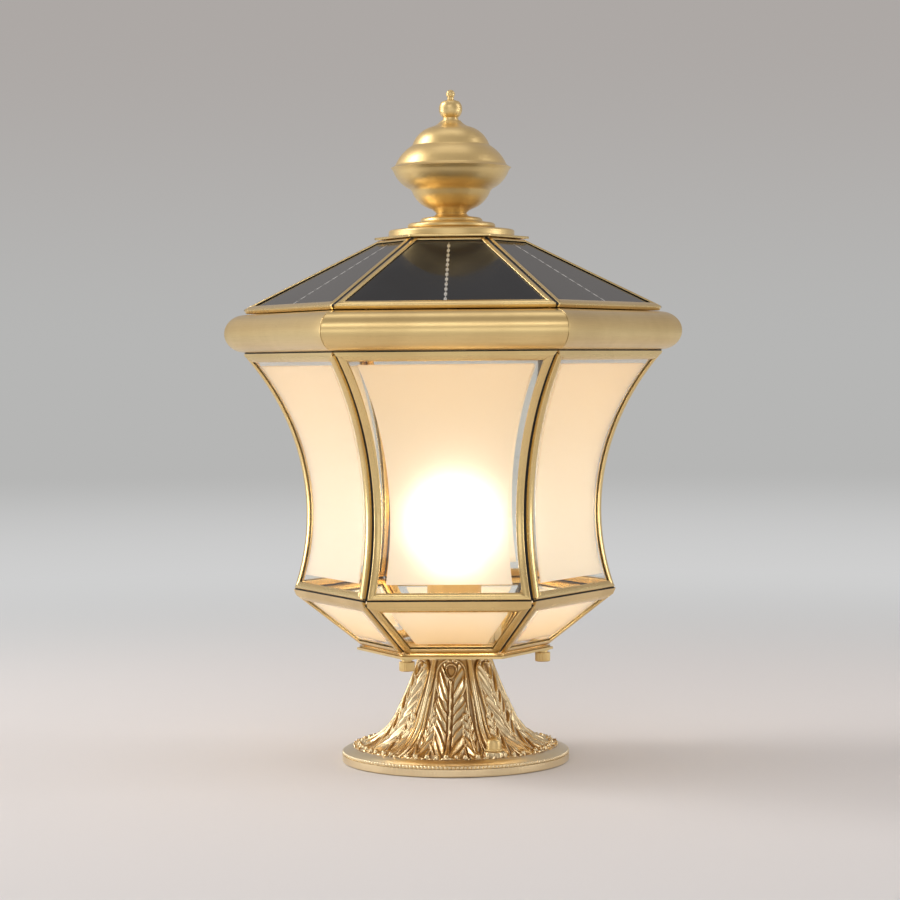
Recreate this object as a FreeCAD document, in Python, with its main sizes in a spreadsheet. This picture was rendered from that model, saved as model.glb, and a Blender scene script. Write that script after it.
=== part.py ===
"""Solar post lantern: six bent glass sides in brass frames under a solar roof, on a cast pedestal.

Millimetres, +Z up. The origin is the centre of the pedestal's underside. One flat side faces -Y.
"Apothem" is the distance from the axis to a flat side, and "radius" of a hexagon is to its corner.
"""
import FreeCAD, Part
import math
import os
from types import SimpleNamespace
import Sketcher

SIDES = 6
NUTS = 3
CELLS = 3

DIMENSIONS = {
    # hexagonal glass body, along the inner face of its bent sides
    "waist_apothem": 88.4,
    "waist_height": 112.1,
    "eave_apothem": 115.7,
    "eave_height": 267.7,
    "side_bend_radius": 175.5,
    # brass channel round every pane
    "frame_wall": 0.6,
    "pane_thickness": 2.4,
    "pane_fit": 0.2,
    "side_lip": 5.0,
    "lower_lip": 5.2,
    "roof_lip": 3.6,
    "roof_foot_lip": 5.2,
    "seam_gap": 0.1,
    "joint_gap": 0.1,
    "waist_gap": 0.3,
    # eave moulding and the deck inside it
    "moulding_apothem": 117.4,
    "moulding_radius": 12.4,
    "moulding_wall": 1.0,
    "moulding_flange": 8.6,
    "deck_thickness": 1.0,
    "deck_margin": 1.0,
    # solar roof; the cap's underside is measured up from the top of the moulding
    "solar_thickness": 2.0,
    "cap_radius": 50.4,
    "cap_thickness": 1.6,
    "cap_overhang": 2.6,
    "cap_bottom": 47.9,
    # finial, from the roof cap upwards
    "flange_radius": 41.0,
    "flange_height": 5.4,
    "collar_radius": 28.6,
    "collar_height": 10.2,
    "lower_bowl_height": 29.4,
    "finial_radius": 39.2,
    "upper_bowl_height": 30.6,
    "bowl_wall": 1.0,
    "knob_height": 20.1,
    "knob_radius": 7.6,
    "ball_radius": 2.9,
    "knob_bore_depth": 9.0,
    "rod_radius": 3.0,
    "rod_fit": 0.1,
    "thread_fit": 0.05,
    "rod_head_radius": 7.0,
    "rod_head_height": 3.0,
    # battery and charge controller on the deck
    "cell_radius": 9.2,
    "cell_length": 65.0,
    "cell_gap": 0.4,
    "case_wall": 1.5,
    "case_offset": 48.0,
    "lid_thickness": 1.5,
    "controller_length": 52.0,
    "controller_width": 40.0,
    "controller_height": 14.0,
    "controller_offset": 48.0,
    "terminal_width": 10.0,
    "terminal_height": 2.4,
    # leads
    "main_lead_radius": 1.5,
    "thin_lead_radius": 1.0,
    "lead_stand_off": 4.0,
    "deck_hole_circle": 114.0,
    "lead_hole_fit": 0.6,
    "lead_end_gap": 0.25,
    "junction_width": 16.0,
    "junction_height": 12.0,
    "junction_depth": 6.0,
    # plug on the housing, socket on the bottom plate
    "socket_circle": 37.8,
    "socket_length": 9.4,
    "socket_width": 8.0,
    "socket_height": 10.0,
    "socket_wall": 1.6,
    "socket_floor": 3.0,
    "plug_fit": 0.3,
    "plug_height": 8.0,
    "plug_foot": 9.0,
    # bottom plate, housing ring and what clamps them
    "plate_radius": 64.3,
    "plate_thickness": 1.5,
    "ring_thickness": 1.2,
    "ring_setback": 1.5,
    "ring_margin": 0.4,
    "ring_opening": 43.5,
    "stud_circle": 57.5,
    "stud_radius": 2.0,
    "stud_hole_fit": 0.4,
    "stud_reach": 6.5,
    "washer_radius": 4.6,
    "washer_thickness": 0.8,
    "nut_neck_radius": 3.3,
    "nut_neck_height": 1.3,
    "nut_radius": 5.0,
    "nut_height": 6.0,
    "nut_chamfer": 0.8,
    "nut_floor": 1.2,
    # lamp cup, holder and bulb
    "cup_radius": 17.7,
    "cup_wall": 1.0,
    "cup_height": 44.5,
    "cup_bead": 0.7,
    "holder_gap": 0.5,
    "holder_short": 1.5,
    "holder_base": 18.5,
    "holder_thread_depth": 12.0,
    "bulb_cap_radius": 13.0,
    "bulb_cap_fit": 0.08,
    "bulb_cap_gap": 0.5,
    "bulb_collar_height": 3.0,
    "bulb_neck_radius": 14.2,
    "bulb_neck_height": 8.0,
    "bulb_radius": 30.0,
    "bulb_wall": 1.2,
    # push switch under the plate
    "switch_circle": 36.0,
    "switch_radius": 6.2,
    "switch_height": 10.0,
    "switch_flange_radius": 8.5,
    "switch_flange_height": 2.0,
    "button_radius": 4.0,
    "button_reach": 3.0,
    "button_collar_radius": 4.9,
    "button_collar_height": 2.0,
    "button_travel": 1.5,
    "button_fit": 0.08,
    # cast pedestal
    "pedestal_height": 72.5,
    "pedestal_top_radius": 23.5,
    "pedestal_top_height": 4.5,
    "pedestal_wall": 3.4,
    "shank_radius": 38.3,
    "shank_height": 32.3,
    "shank_bend": 320.0,
    "skirt_radius": 68.0,
    "skirt_height": 10.3,
    "skirt_bend": 36.0,
    "rim_radius": 74.4,
    "rim_height": 5.0,
    "bead_radius": 1.1,
    "cavity_edge_height": 5.0,
    # raised leaves and stems of the casting
    "leaf_depth": 1.6,
    "leaf_land": 0.5,
    "leaf_half_width": 9.4,
    "leaf_foot_half_width": 13.0,
    "leaf_top_height": 67.5,
    "side_leaf_half_width": 2.4,
    "side_leaf_foot_half_width": 4.8,
    "side_leaf_top_height": 46.0,
    "stem_half_width": 2.0,
    "stem_foot_half_width": 1.5,
    # threaded tube that clamps the pedestal, plate, cup and holder
    "tube_radius": 5.0,
    "tube_bore": 3.6,
    "tube_nut_radius": 9.0,
    "tube_nut_height": 5.0,
    "tube_tail": 4.0,
    # steel plate that is screwed to the post
    "mount_plate_radius": 66.0,
    "mount_plate_thickness": 3.0,
    "mount_plate_fit": 0.5,
    "mount_plate_opening": 30.0,
    "post_screw_circle": 45.0,
    "post_screw_hole": 2.75,
    "base_nut_circle": 60.0,
    "base_stud_radius": 2.5,
    "boss_radius": 6.6,
    "boss_height": 13.8,
    "base_nut_radius": 5.0,
    "base_nut_height": 9.4,
    "base_nut_crown": 4.4,
    "base_nut_bead": 0.7,
}

# share of each bowl's radius and height at its corners; the third is the bend of the arc that ends there,
# which bulges to the right of the way along the outline, or to the left where it is negative
UPPER_BOWL_SHARES = (
    (1.0, 0.0, None), (0.925, 0.06, -0.25), (0.643, 0.475, 0.66), (0.318, 0.87, 0.46), (0.166, 1.0, -0.26),
)
LOWER_BOWL_SHARES = (
    (0.25, 0.0, None), (0.372, 0.105, -0.28), (0.653, 0.49, 0.47), (0.689, 0.54, None), (0.959, 0.93, 0.5),
    (1.0, 1.0, None),
)
COLLAR_SHARES = (
    (0.943, 0.0, None), (1.0, 0.2, 0.12), (0.72, 0.5, 0.36), (0.69, 0.56, None), (0.43, 0.79, 0.42),
    (0.343, 1.0, -0.16),
)
FLANGE_SHARES = ((1.0, 0.0, None), (1.0, 0.3, None), (0.955, 0.56, 0.09), (0.7, 1.0, 0.7), (0.5, 1.0, None))
# shares of the knob's radius and height, from the seat to the neck under the ball
KNOB_SHARES = ((0.72, 0.0, None), (0.63, 0.09, None), (1.0, 0.38, 0.9), (0.74, 0.62, 0.9), (0.28, 0.68, None))
# place of the junction boxes, as a share of the way up the roof
JUNCTION_SHARE = 0.45
# places of each panel lead as shares (across, along, down) of its way, first from the panel and then from
# the controller
PANEL_LEAD_SHARES = ((0.28, -0.49, -0.03), (0.22, -0.98, -0.18), (-0.18, -1.2, -0.36))
TERMINAL_LEAD_SHARES = (0.06, -0.12, 0.42)
# sag of the battery lead, and where it is reached, as shares of its length
BATTERY_LEAD_SHARES = ((0.3, -0.06), (0.7, -0.06))
# places of the main lead: from the plug outwards and up, at the waist, along the corner, and under the deck
PLUG_LEAD_SHARES = ((0.3, 0.0), (0.78, 0.48))
WAIST_LEAD_SHARE = 0.03
SIDE_LEAD_SHARES = (0.16, 0.34, 0.52, 0.68, 0.81)
DECK_LEAD_SHARE = 0.04
# the same lead above the deck, as shares (across, back, up) of its way back to the controller
CONTROLLER_LEAD_SHARES = ((0.0, 0.0, 0.16), (0.0, -0.1, 0.29), (-0.03, -0.32, 0.32), (-0.07, -0.58, 0.24))
CONTROLLER_END_SHARES = (0.19, 0.02)
# part of the shorter of two runs that the arc between them takes up
ARC_SHARE = 0.45

doc = FreeCAD.newDocument("solar_post_lantern")


class Size:
    """A number together with the sheet expression that gives it, so each formula is written once."""

    def __init__(self, value, text):
        self.value = value
        self.text = text

    def __add__(self, other):
        other = as_size(other)
        return Size(self.value + other.value, "(%s + %s)" % (self.text, other.text))

    def __sub__(self, other):
        other = as_size(other)
        return Size(self.value - other.value, "(%s - %s)" % (self.text, other.text))

    def __mul__(self, other):
        other = as_size(other)
        return Size(self.value * other.value, "(%s * %s)" % (self.text, other.text))

    def __truediv__(self, other):
        other = as_size(other)
        return Size(self.value / other.value, "(%s / %s)" % (self.text, other.text))

    def __neg__(self):
        return Size(-self.value, "(-1 * %s)" % self.text)

    __rmul__ = __mul__


def as_size(number):
    """A plain share or count as a Size; a Size stays as it is."""
    return number if isinstance(number, Size) else Size(float(number), repr(float(number)))


def root(size):
    return Size(math.sqrt(size.value), "sqrt(%s)" % size.text)


def degrees(number):
    return Size(float(number), "%r deg" % float(number))


def sine(angle):
    return Size(math.sin(math.radians(angle.value)), "sin(%s)" % angle.text)


def cosine(angle):
    return Size(math.cos(math.radians(angle.value)), "cos(%s)" % angle.text)


def arc_sine(ratio):
    return Size(math.degrees(math.asin(ratio.value)), "asin(%s)" % ratio.text)


def arc_tangent(rise, run):
    return Size(math.degrees(math.atan2(rise.value, run.value)), "atan2(%s; %s)" % (rise.text, run.text))


def make_sheet():
    """The sheet of driving dimensions, and each of them as a Size under its own name."""
    sheet = doc.addObject("Spreadsheet::Sheet", "dimensions")
    for row, (name, value) in enumerate(DIMENSIONS.items(), 1):
        sheet.set("A%d" % row, name)
        sheet.set("B%d" % row, repr(value))
        sheet.setAlias("B%d" % row, name)
    doc.recompute()
    sizes = {name: Size(value, "dimensions." + name) for name, value in DIMENSIONS.items()}
    return SimpleNamespace(**sizes)


dim = make_sheet()
ZERO = as_size(0)
HALF_SIDE_ANGLE = degrees(180 / SIDES)
SIDE_ANGLE = degrees(360 / SIDES)
NO_TURN = degrees(0)
CORNER_COSINE = cosine(HALF_SIDE_ANGLE)
HALF_SIDE_SHARE = sine(HALF_SIDE_ANGLE) / CORNER_COSINE
# nearer to an axis than this, a point lies on it
ON_AXIS = 1e-9
NODES = {}


def bind(item, name, size):
    item.setExpression(name, size.text)


def place(item, base, axis, angle):
    """Binds an object's placement: a base point, and a turn about one axis."""
    x, y, z = (as_size(part).text for part in base)
    item.setExpression("Placement", (
        "create(<<placement>>; create(<<vector>>; %s; %s; %s); "
        "create(<<rotation>>; create(<<vector>>; %d; %d; %d); %s))" % (x, y, z, *axis, angle.text)))


def keep(label, item):
    """Gives an object the name of the piece it is, and lists it for export."""
    item.Label = label
    NODES[label] = item
    return item


def body(label):
    return doc.addObject("PartDesign::Body", label)


def sketch_on(owner, role, offset=None):
    """An empty sketch on one of the body's own origin planes, moved along its normal by offset."""
    plane = next(item for item in owner.Origin.OriginFeatures if item.Role == role)
    sketch = owner.newObject("Sketcher::SketchObject", owner.Name + "_outline")
    sketch.AttachmentSupport = [(plane, "")]
    sketch.MapMode = "FlatFace"
    if offset is not None:
        bind(sketch, "AttachmentOffset.Base.z", offset)
    return sketch


def bind_place(sketch, curve, end, x, y):
    """Fixes one point of a curve to a bound place, or to an axis where it lies on one."""
    for kind, size, axis in (("DistanceX", x, -2), ("DistanceY", y, -1)):
        if abs(size.value) < ON_AXIS:
            sketch.addConstraint(Sketcher.Constraint("PointOnObject", curve, end, axis))
        else:
            rule = sketch.addConstraint(Sketcher.Constraint(kind, curve, end, size.value))
            bind(sketch, "Constraints[%d]" % rule, size)


def arc_middle(start, end, bend):
    """The point halfway along the short arc from start to end; a negative bend bulges to the left."""
    chord = end - start
    across = FreeCAD.Vector(chord.y, -chord.x, 0).normalize()
    depth = abs(bend) - math.sqrt(bend * bend - chord.Length ** 2 / 4)
    return (start + end) / 2 + across * math.copysign(depth, bend)


def draw_loop(sketch, corners):
    """One closed loop through (x, y) or (x, y, bend) corners, every corner and bend radius bound."""
    corners = [tuple(corner) + (None,) * (3 - len(corner)) for corner in corners]
    points = [FreeCAD.Vector(x.value, y.value, 0) for x, y, bend in corners]
    count = len(corners)
    curves = []
    for index in range(count):
        start, end = points[index], points[(index + 1) % count]
        bend = corners[(index + 1) % count][2]
        if bend is None:
            curves.append(sketch.addGeometry(Part.LineSegment(start, end), False))
        else:
            middle = arc_middle(start, end, bend.value)
            curves.append(sketch.addGeometry(Part.Arc(start, middle, end), False))
    for index in range(count):
        following = (index + 1) % count
        leaving = end_near(sketch, curves[index], points[following])
        arriving = end_near(sketch, curves[following], points[following])
        ends = (curves[index], leaving, curves[following], arriving)
        sketch.addConstraint(Sketcher.Constraint("Coincident", *ends))
    for index in range(count):
        x, y, bend = corners[index]
        bind_place(sketch, curves[index], end_near(sketch, curves[index], points[index]), x, y)
        if bend is not None:
            radius = bend if bend.value > 0 else -bend
            rule = sketch.addConstraint(Sketcher.Constraint("Radius", curves[index - 1], radius.value))
            bind(sketch, "Constraints[%d]" % rule, radius)


def end_near(sketch, curve, point):
    """Which end of a curve, 1 or 2, lies at the point."""
    first = sketch.getPoint(curve, 1)
    second = sketch.getPoint(curve, 2)
    return 1 if first.distanceToPoint(point) <= second.distanceToPoint(point) else 2


def draw_circle(sketch, x, y, radius):
    centre = FreeCAD.Vector(x.value, y.value, 0)
    curve = sketch.addGeometry(Part.Circle(centre, FreeCAD.Vector(0, 0, 1), radius.value), False)
    bind_place(sketch, curve, 3, x, y)
    rule = sketch.addConstraint(Sketcher.Constraint("Radius", curve, radius.value))
    bind(sketch, "Constraints[%d]" % rule, radius)


def draw_circles(sketch, circles):
    """Circles given as (x, y, radius)."""
    for x, y, radius in circles:
        draw_circle(sketch, x, y, radius)


def hexagon(apothem):
    """Corners of a hexagon with one flat side across -Y."""
    radius = apothem / CORNER_COSINE
    angles = [degrees(corner * 360 / SIDES) for corner in range(SIDES)]
    return [(radius * cosine(angle), radius * sine(angle)) for angle in angles]


def rectangle(low_x, high_x, low_y, high_y):
    return [(low_x, low_y), (high_x, low_y), (high_x, high_y), (low_x, high_y)]


def pad(owner, sketch, length):
    feature = owner.newObject("PartDesign::Pad", owner.Name + "_pad")
    feature.Profile = sketch
    bind(feature, "Length", length)
    return feature


def pocket(owner, sketch, length):
    """Cuts along the sketch's normal, upwards from its plane."""
    feature = owner.newObject("PartDesign::Pocket", owner.Name + "_pocket")
    feature.Profile = sketch
    feature.Reversed = True
    bind(feature, "Length", length)
    return feature


def turned(label, outline):
    """A body turned about the axis from a closed outline of (radius, height) corners."""
    owner = body(label)
    sketch = sketch_on(owner, "XZ_Plane")
    draw_loop(sketch, outline)
    feature = owner.newObject("PartDesign::Revolution", label + "_turning")
    feature.Profile = sketch
    feature.ReferenceAxis = (sketch, ["V_Axis"])
    feature.Angle = 360
    return owner


def turned_at(label, outline, circle, angle):
    """A turned body that stands at its own place round the axis."""
    owner = turned(label, outline)
    place(owner, (circle * cosine(degrees(angle)), circle * sine(degrees(angle)), ZERO), (0, 0, 1), NO_TURN)
    return owner


def plate(label, bottom, thickness, loops, circles=()):
    """A flat plate cut to closed loops, with round holes given as (x, y, radius)."""
    owner = body(label)
    sketch = sketch_on(owner, "XY_Plane", bottom)
    for loop in loops:
        draw_loop(sketch, loop)
    draw_circles(sketch, circles)
    pad(owner, sketch, thickness)
    return owner


def holes_round(circle, radius, count, first_angle):
    """Equal circles as (x, y, radius), spaced evenly round the axis."""
    angles = [degrees(first_angle + index * 360 / count) for index in range(count)]
    return [(circle * cosine(angle), circle * sine(angle), radius) for angle in angles]


def block(label, low, high):
    """A box between two opposite corners."""
    box = doc.addObject("Part::Box", label)
    for name, start, end in zip(("Length", "Width", "Height"), low, high):
        bind(box, name, end - start)
    place(box, low, (0, 0, 1), NO_TURN)
    return box


def join(label, items):
    """Several objects as one solid."""
    joined = doc.addObject("Part::MultiFuse", label)
    joined.Shapes = items
    return joined


def cut(label, base, tool):
    result = doc.addObject("Part::Cut", label)
    result.Base = base
    result.Tool = tool
    return result


def group(label, items):
    """Separate solids that share one name."""
    collection = doc.addObject("Part::Compound", label)
    collection.Links = items
    return collection


def turned_copy(label, master, angle):
    """A copy of a finished piece, turned about the axis."""
    copy = group(label, [master])
    place(copy, (ZERO, ZERO, ZERO), (0, 0, 1), degrees(angle))
    return copy


def all_sides(label, master):
    """The six copies of a side piece under one name."""
    copies = [turned_copy("%s_%d" % (label, side + 1), master, side * 360 / SIDES) for side in range(SIDES)]
    return keep(label, group(label, copies))


def each_side(label, master):
    """The six copies of a side piece, each under its own name."""
    for side in range(SIDES):
        name = "%s_%d" % (label, side + 1)
        keep(name, turned_copy(name, master, side * 360 / SIDES))


# heights and places that follow from the dimensions

pane_depth = dim.pane_thickness + 2 * dim.pane_fit + 2 * dim.frame_wall
solar_depth = dim.solar_thickness + 2 * dim.pane_fit + 2 * dim.frame_wall
plate_top = dim.pedestal_height + dim.plate_thickness
ring_top = plate_top + dim.ring_thickness
plate_apothem = dim.plate_radius * CORNER_COSINE
ring_apothem = plate_apothem - dim.ring_setback
moulding_bottom = dim.eave_height + dim.joint_gap
moulding_middle = moulding_bottom + dim.moulding_radius
moulding_top = moulding_middle + dim.moulding_radius
deck_bottom = moulding_bottom + dim.moulding_wall
deck_top = deck_bottom + dim.deck_thickness
cap_low = moulding_top + dim.cap_bottom
cap_top = cap_low + dim.cap_thickness
collar_bottom = cap_top + dim.flange_height
lower_bowl_bottom = collar_bottom + dim.collar_height
finial_rim_height = lower_bowl_bottom + dim.lower_bowl_height
knob_bottom = finial_rim_height + dim.upper_bowl_height
cup_floor_top = plate_top + dim.cup_wall
cup_top = plate_top + dim.cup_height
holder_top = cup_top - dim.holder_short
LEAD_CORNER = 60
BASE_NUTS = 2
BASE_NUT_ANGLE = 116
LEAF_TURN = -3.5
SIDE_LEAF_TURN = 18.5


def bend_centre():
    """Centre of the arc of the bent sides, outside the body, as (apothem, height)."""
    run = dim.eave_apothem - dim.waist_apothem
    rise = dim.eave_height - dim.waist_height
    chord = root(run * run + rise * rise)
    reach = root(dim.side_bend_radius * dim.side_bend_radius - chord * chord / 4)
    apothem = (dim.eave_apothem + dim.waist_apothem) / 2 + reach * rise / chord
    height = (dim.eave_height + dim.waist_height) / 2 - reach * run / chord
    return apothem, height


CENTRE_APOTHEM, CENTRE_HEIGHT = bend_centre()
LOW_ANGLE = arc_sine((dim.waist_height - CENTRE_HEIGHT) / dim.side_bend_radius)
HIGH_ANGLE = arc_sine((dim.eave_height - CENTRE_HEIGHT) / dim.side_bend_radius)
BEND_SECTIONS = 9
BEND_UNIT = degrees(180 / math.pi)


def bent_slab(label, inset, inner, outer):
    """A bent slab of the side: its edges inset along the side, between two depths under the inner face.

    Sections are rectangles in planes through the bend's axis. Their half width is the side's half width
    at that height less the inset, so that the slab's edges stand square to the pane.
    """
    margin = inset / dim.side_bend_radius * BEND_UNIT
    near = dim.side_bend_radius - outer
    sections = []
    for index in range(BEND_SECTIONS):
        share = index / (BEND_SECTIONS - 1)
        angle = (LOW_ANGLE + margin) * (1 - share) + (HIGH_ANGLE - margin) * share
        half = HALF_SIDE_SHARE * (CENTRE_APOTHEM - dim.side_bend_radius * cosine(angle)) - inset
        section = doc.addObject("Part::Plane", "%s_section_%d" % (label, index + 1))
        bind(section, "Length", 2 * half)
        bind(section, "Width", outer - inner)
        base = (-half, near * cosine(angle) - CENTRE_APOTHEM, CENTRE_HEIGHT + near * sine(angle))
        place(section, base, (1, 0, 0), angle)
        sections.append(section)
    slab = doc.addObject("Part::Loft", label)
    slab.Sections = sections
    slab.Solid = True
    return slab


def make_sides():
    """Bent channel frames and the bent panes in their grooves."""
    wall = dim.frame_wall
    groove_inset = dim.seam_gap + wall
    pane_inset = groove_inset + dim.pane_fit
    slab = bent_slab("side_slab", dim.seam_gap, ZERO, pane_depth)
    window = bent_slab("side_window", dim.side_lip, -dim.side_lip, pane_depth + dim.side_lip)
    groove = bent_slab("side_groove", groove_inset, wall, pane_depth - wall)
    opened = cut("side_opened", slab, window)
    each_side("side_frame", cut("side_frame_master", opened, groove))
    pane = bent_slab("side_pane_master", pane_inset, wall + dim.pane_fit, pane_depth - wall - dim.pane_fit)
    each_side("side_glass", pane)


class Slope:
    """A flat sloping side between a low and a high point, each (apothem, height).

    One of the two points is on the inner face and the other on the outer one: high_side is 1 where the high
    point is outer, and -1 where the low one is. Along it x is across, y up the slope and z outwards.
    """

    def __init__(self, low, high, depth, high_side):
        run = high[0] - low[0]
        rise = high[1] - low[1]
        straight = root(run * run + rise * rise)
        lean = arc_sine(depth / straight)
        direction = arc_tangent(rise, run)
        direction = direction + lean if high_side > 0 else direction - lean
        self.along = (cosine(direction), sine(direction))
        self.outward = (sine(direction), -cosine(direction))
        self.length = root(straight * straight - depth * depth)
        self.depth = depth
        if high_side > 0:
            self.low = low
        else:
            self.low = (low[0] - depth * self.outward[0], low[1] - depth * self.outward[1])
        self.turn = degrees(180) - direction

    def place(self, item):
        """Puts a body drawn in the slope's own axes in the front side."""
        place(item, (ZERO, -self.low[0], self.low[1]), (1, 0, 0), self.turn)

    def point(self, y, z):
        """(apothem, height) of a place on the slope's middle line."""
        apothem = self.low[0] + y * self.along[0] + z * self.outward[0]
        height = self.low[1] + y * self.along[1] + z * self.outward[1]
        return apothem, height

    def outline(self, inset, foot=None):
        """The side's outline with its edges moved inwards by inset, or its low edge by foot if given."""
        foot = inset if foot is None else foot
        flare = HALF_SIDE_SHARE * self.along[0]
        edge = inset * root(as_size(1) + flare * flare)
        top = self.length - inset
        low_half = HALF_SIDE_SHARE * self.low[0] + flare * foot - edge
        high_half = HALF_SIDE_SHARE * self.low[0] + flare * top - edge
        return [(-low_half, foot), (low_half, foot), (high_half, top), (-high_half, top)]

    def slab(self, label, outlines, start, thickness):
        """A flat layer of the side."""
        owner = body(label)
        self.layer(owner, outlines, start, thickness)
        self.place(owner)
        return owner

    def layer(self, owner, outlines, start, thickness):
        sketch = sketch_on(owner, "XY_Plane", start)
        for outline in outlines:
            draw_loop(sketch, outline)
        pad(owner, sketch, thickness)

    def frame(self, label, lip, foot_lip):
        """A flat channel frame: an inner lip, a web and an outer lip."""
        wall = dim.frame_wall
        window = self.outline(lip, foot_lip)
        edge = self.outline(dim.seam_gap)
        groove = self.outline(dim.seam_gap + wall)
        owner = body(label)
        self.layer(owner, (edge, window), ZERO, wall)
        self.layer(owner, (edge, groove), wall, self.depth - 2 * wall)
        self.layer(owner, (edge, window), self.depth - wall, wall)
        self.place(owner)
        return owner

    def pane(self, label):
        """The flat pane in the frame's groove."""
        lift = dim.frame_wall + dim.pane_fit
        outline = self.outline(dim.seam_gap + lift)
        return self.slab(label, (outline,), lift, self.depth - 2 * lift)


roof = Slope((dim.moulding_apothem, moulding_top + dim.joint_gap),
             (dim.cap_radius * CORNER_COSINE - dim.cap_overhang, cap_low - dim.joint_gap), solar_depth, 1)
skirt = Slope((ring_apothem - dim.ring_margin, ring_top + dim.joint_gap),
              (dim.waist_apothem, dim.waist_height - dim.waist_gap), pane_depth, -1)


def make_lower_sides():
    all_sides("lower_frames", skirt.frame("lower_frame_master", dim.lower_lip, dim.lower_lip))
    all_sides("lower_panes", skirt.pane("lower_pane_master"))


def make_roof():
    """Roof channels, solar panels, the cap on top and the deck inside the moulding."""
    all_sides("roof_frames", roof.frame("roof_frame_master", dim.roof_lip, dim.roof_foot_lip))
    all_sides("solar_panels", roof.pane("solar_panel_master"))
    rod_hole = (ZERO, ZERO, dim.rod_radius + dim.rod_fit)
    keep("roof_cap", plate("cap_plate", cap_low, dim.cap_thickness,
                           [hexagon(dim.cap_radius * CORNER_COSINE)], [rod_hole]))
    lead_hole = holes_round(dim.deck_hole_circle, dim.main_lead_radius + dim.lead_hole_fit, 1, LEAD_CORNER)
    keep("roof_deck", plate("deck_plate", deck_bottom, dim.deck_thickness,
                            [hexagon(dim.moulding_apothem - dim.deck_margin)], [rod_hole] + lead_hole))


def make_moulding():
    """Half-round eave moulding: a C-section padded along one side and mitred at both ends."""
    owner = body("moulding_master")
    middle = dim.moulding_apothem
    inner_edge = middle - dim.moulding_flange
    radius = dim.moulding_radius
    inside = radius - dim.moulding_wall
    section = sketch_on(owner, "YZ_Plane")
    low, high = moulding_bottom, moulding_top
    draw_loop(section, [
        (-inner_edge, low), (-middle, low), (-(middle + radius), moulding_middle, -radius),
        (-middle, high, -radius), (-inner_edge, high), (-inner_edge, high - dim.moulding_wall),
        (-middle, high - dim.moulding_wall),
        (-(middle + inside), moulding_middle, inside), (-middle, low + dim.moulding_wall, inside),
        (-inner_edge, low + dim.moulding_wall)])
    length = 2 * HALF_SIDE_SHARE * (middle + radius)
    bar = pad(owner, section, length)
    bar.Midplane = True
    mitres = sketch_on(owner, "XY_Plane", low)
    far = middle + radius
    trim = dim.seam_gap / CORNER_COSINE
    half = HALF_SIDE_SHARE * far
    for side in (-1, 1):
        draw_loop(mitres, [
            (side * (HALF_SIDE_SHARE * inner_edge - trim), -inner_edge), (side * half, -inner_edge),
            (side * half, -far), (side * (half - trim), -far)])
    pocket(owner, mitres, 2 * radius)
    all_sides("eave_moulding", owner)


def shaped(shares, radius, bottom, height):
    """Corners of a turned outline from shares of its radius and height."""
    corners = []
    for across, up, bend in shares:
        place_here = (radius * across, bottom + height * up)
        corners.append(place_here if bend is None else place_here + (radius * bend,))
    return corners


def spun_shell(label, shares, radius, bottom, height, open_low):
    """A spun shell with a hole for the rod, open at its lower or its upper end.

    Its inside is the same outline, smaller by the wall all round.
    """
    bore = dim.rod_radius + dim.rod_fit
    wall = dim.bowl_wall
    outside = shaped(shares, radius, bottom, height)
    inside_bottom = bottom if open_low else bottom + wall
    inside = shaped(shares, radius - wall, inside_bottom, height - wall)
    back = []
    for index in reversed(range(len(inside))):
        bend = shares[index + 1][2] if index + 1 < len(shares) else None
        corner = inside[index][:2]
        back.append(corner if bend is None else corner + (-(radius - wall) * bend,))
    top = bottom + height
    if open_low:
        hub = [(bore, top), (bore, top - wall)]
        loop = outside + hub + back
    else:
        hub = [(bore, bottom + wall), (bore, bottom)]
        loop = outside + back + hub
    return keep(label, turned(label + "_shell", loop))


def make_finial():
    """The finial's spun shells on their rod, and the knob that is screwed down on them."""
    spun_shell("finial_flange", FLANGE_SHARES, dim.flange_radius, cap_top, dim.flange_height, True)
    spun_shell("finial_collar", COLLAR_SHARES, dim.collar_radius, collar_bottom, dim.collar_height, True)
    spun_shell("finial_lower_bowl", LOWER_BOWL_SHARES, dim.finial_radius, lower_bowl_bottom,
               dim.lower_bowl_height, False)
    spun_shell("finial_upper_bowl", UPPER_BOWL_SHARES, dim.finial_radius, finial_rim_height,
               dim.upper_bowl_height, True)
    rod_top = knob_bottom + dim.knob_bore_depth - dim.rod_fit
    head_bottom = deck_bottom - dim.rod_head_height
    keep("finial_rod", turned("rod", [
        (ZERO, head_bottom), (dim.rod_head_radius, head_bottom), (dim.rod_head_radius, deck_bottom),
        (dim.rod_radius, deck_bottom), (dim.rod_radius, rod_top), (ZERO, rod_top)]))
    knob_top = knob_bottom + dim.knob_height
    ball_middle = knob_top - dim.ball_radius
    neck_radius = KNOB_SHARES[-1][0] * dim.knob_radius
    neck_drop = root(dim.ball_radius * dim.ball_radius - neck_radius * neck_radius)
    bore = dim.rod_radius + dim.thread_fit
    keep("finial_knob", turned("knob", shaped(KNOB_SHARES, dim.knob_radius, knob_bottom, dim.knob_height) + [
        (neck_radius, ball_middle - neck_drop), (dim.ball_radius, ball_middle, dim.ball_radius),
        (ZERO, knob_top, dim.ball_radius), (ZERO, knob_bottom + dim.knob_bore_depth),
        (bore, knob_bottom + dim.knob_bore_depth), (bore, knob_bottom)]))


def battery_half_width():
    """Half the inside width of the battery case: its cells side by side with gaps."""
    return ((2 * dim.cell_radius + dim.cell_gap) * CELLS + dim.cell_gap) / 2


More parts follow.
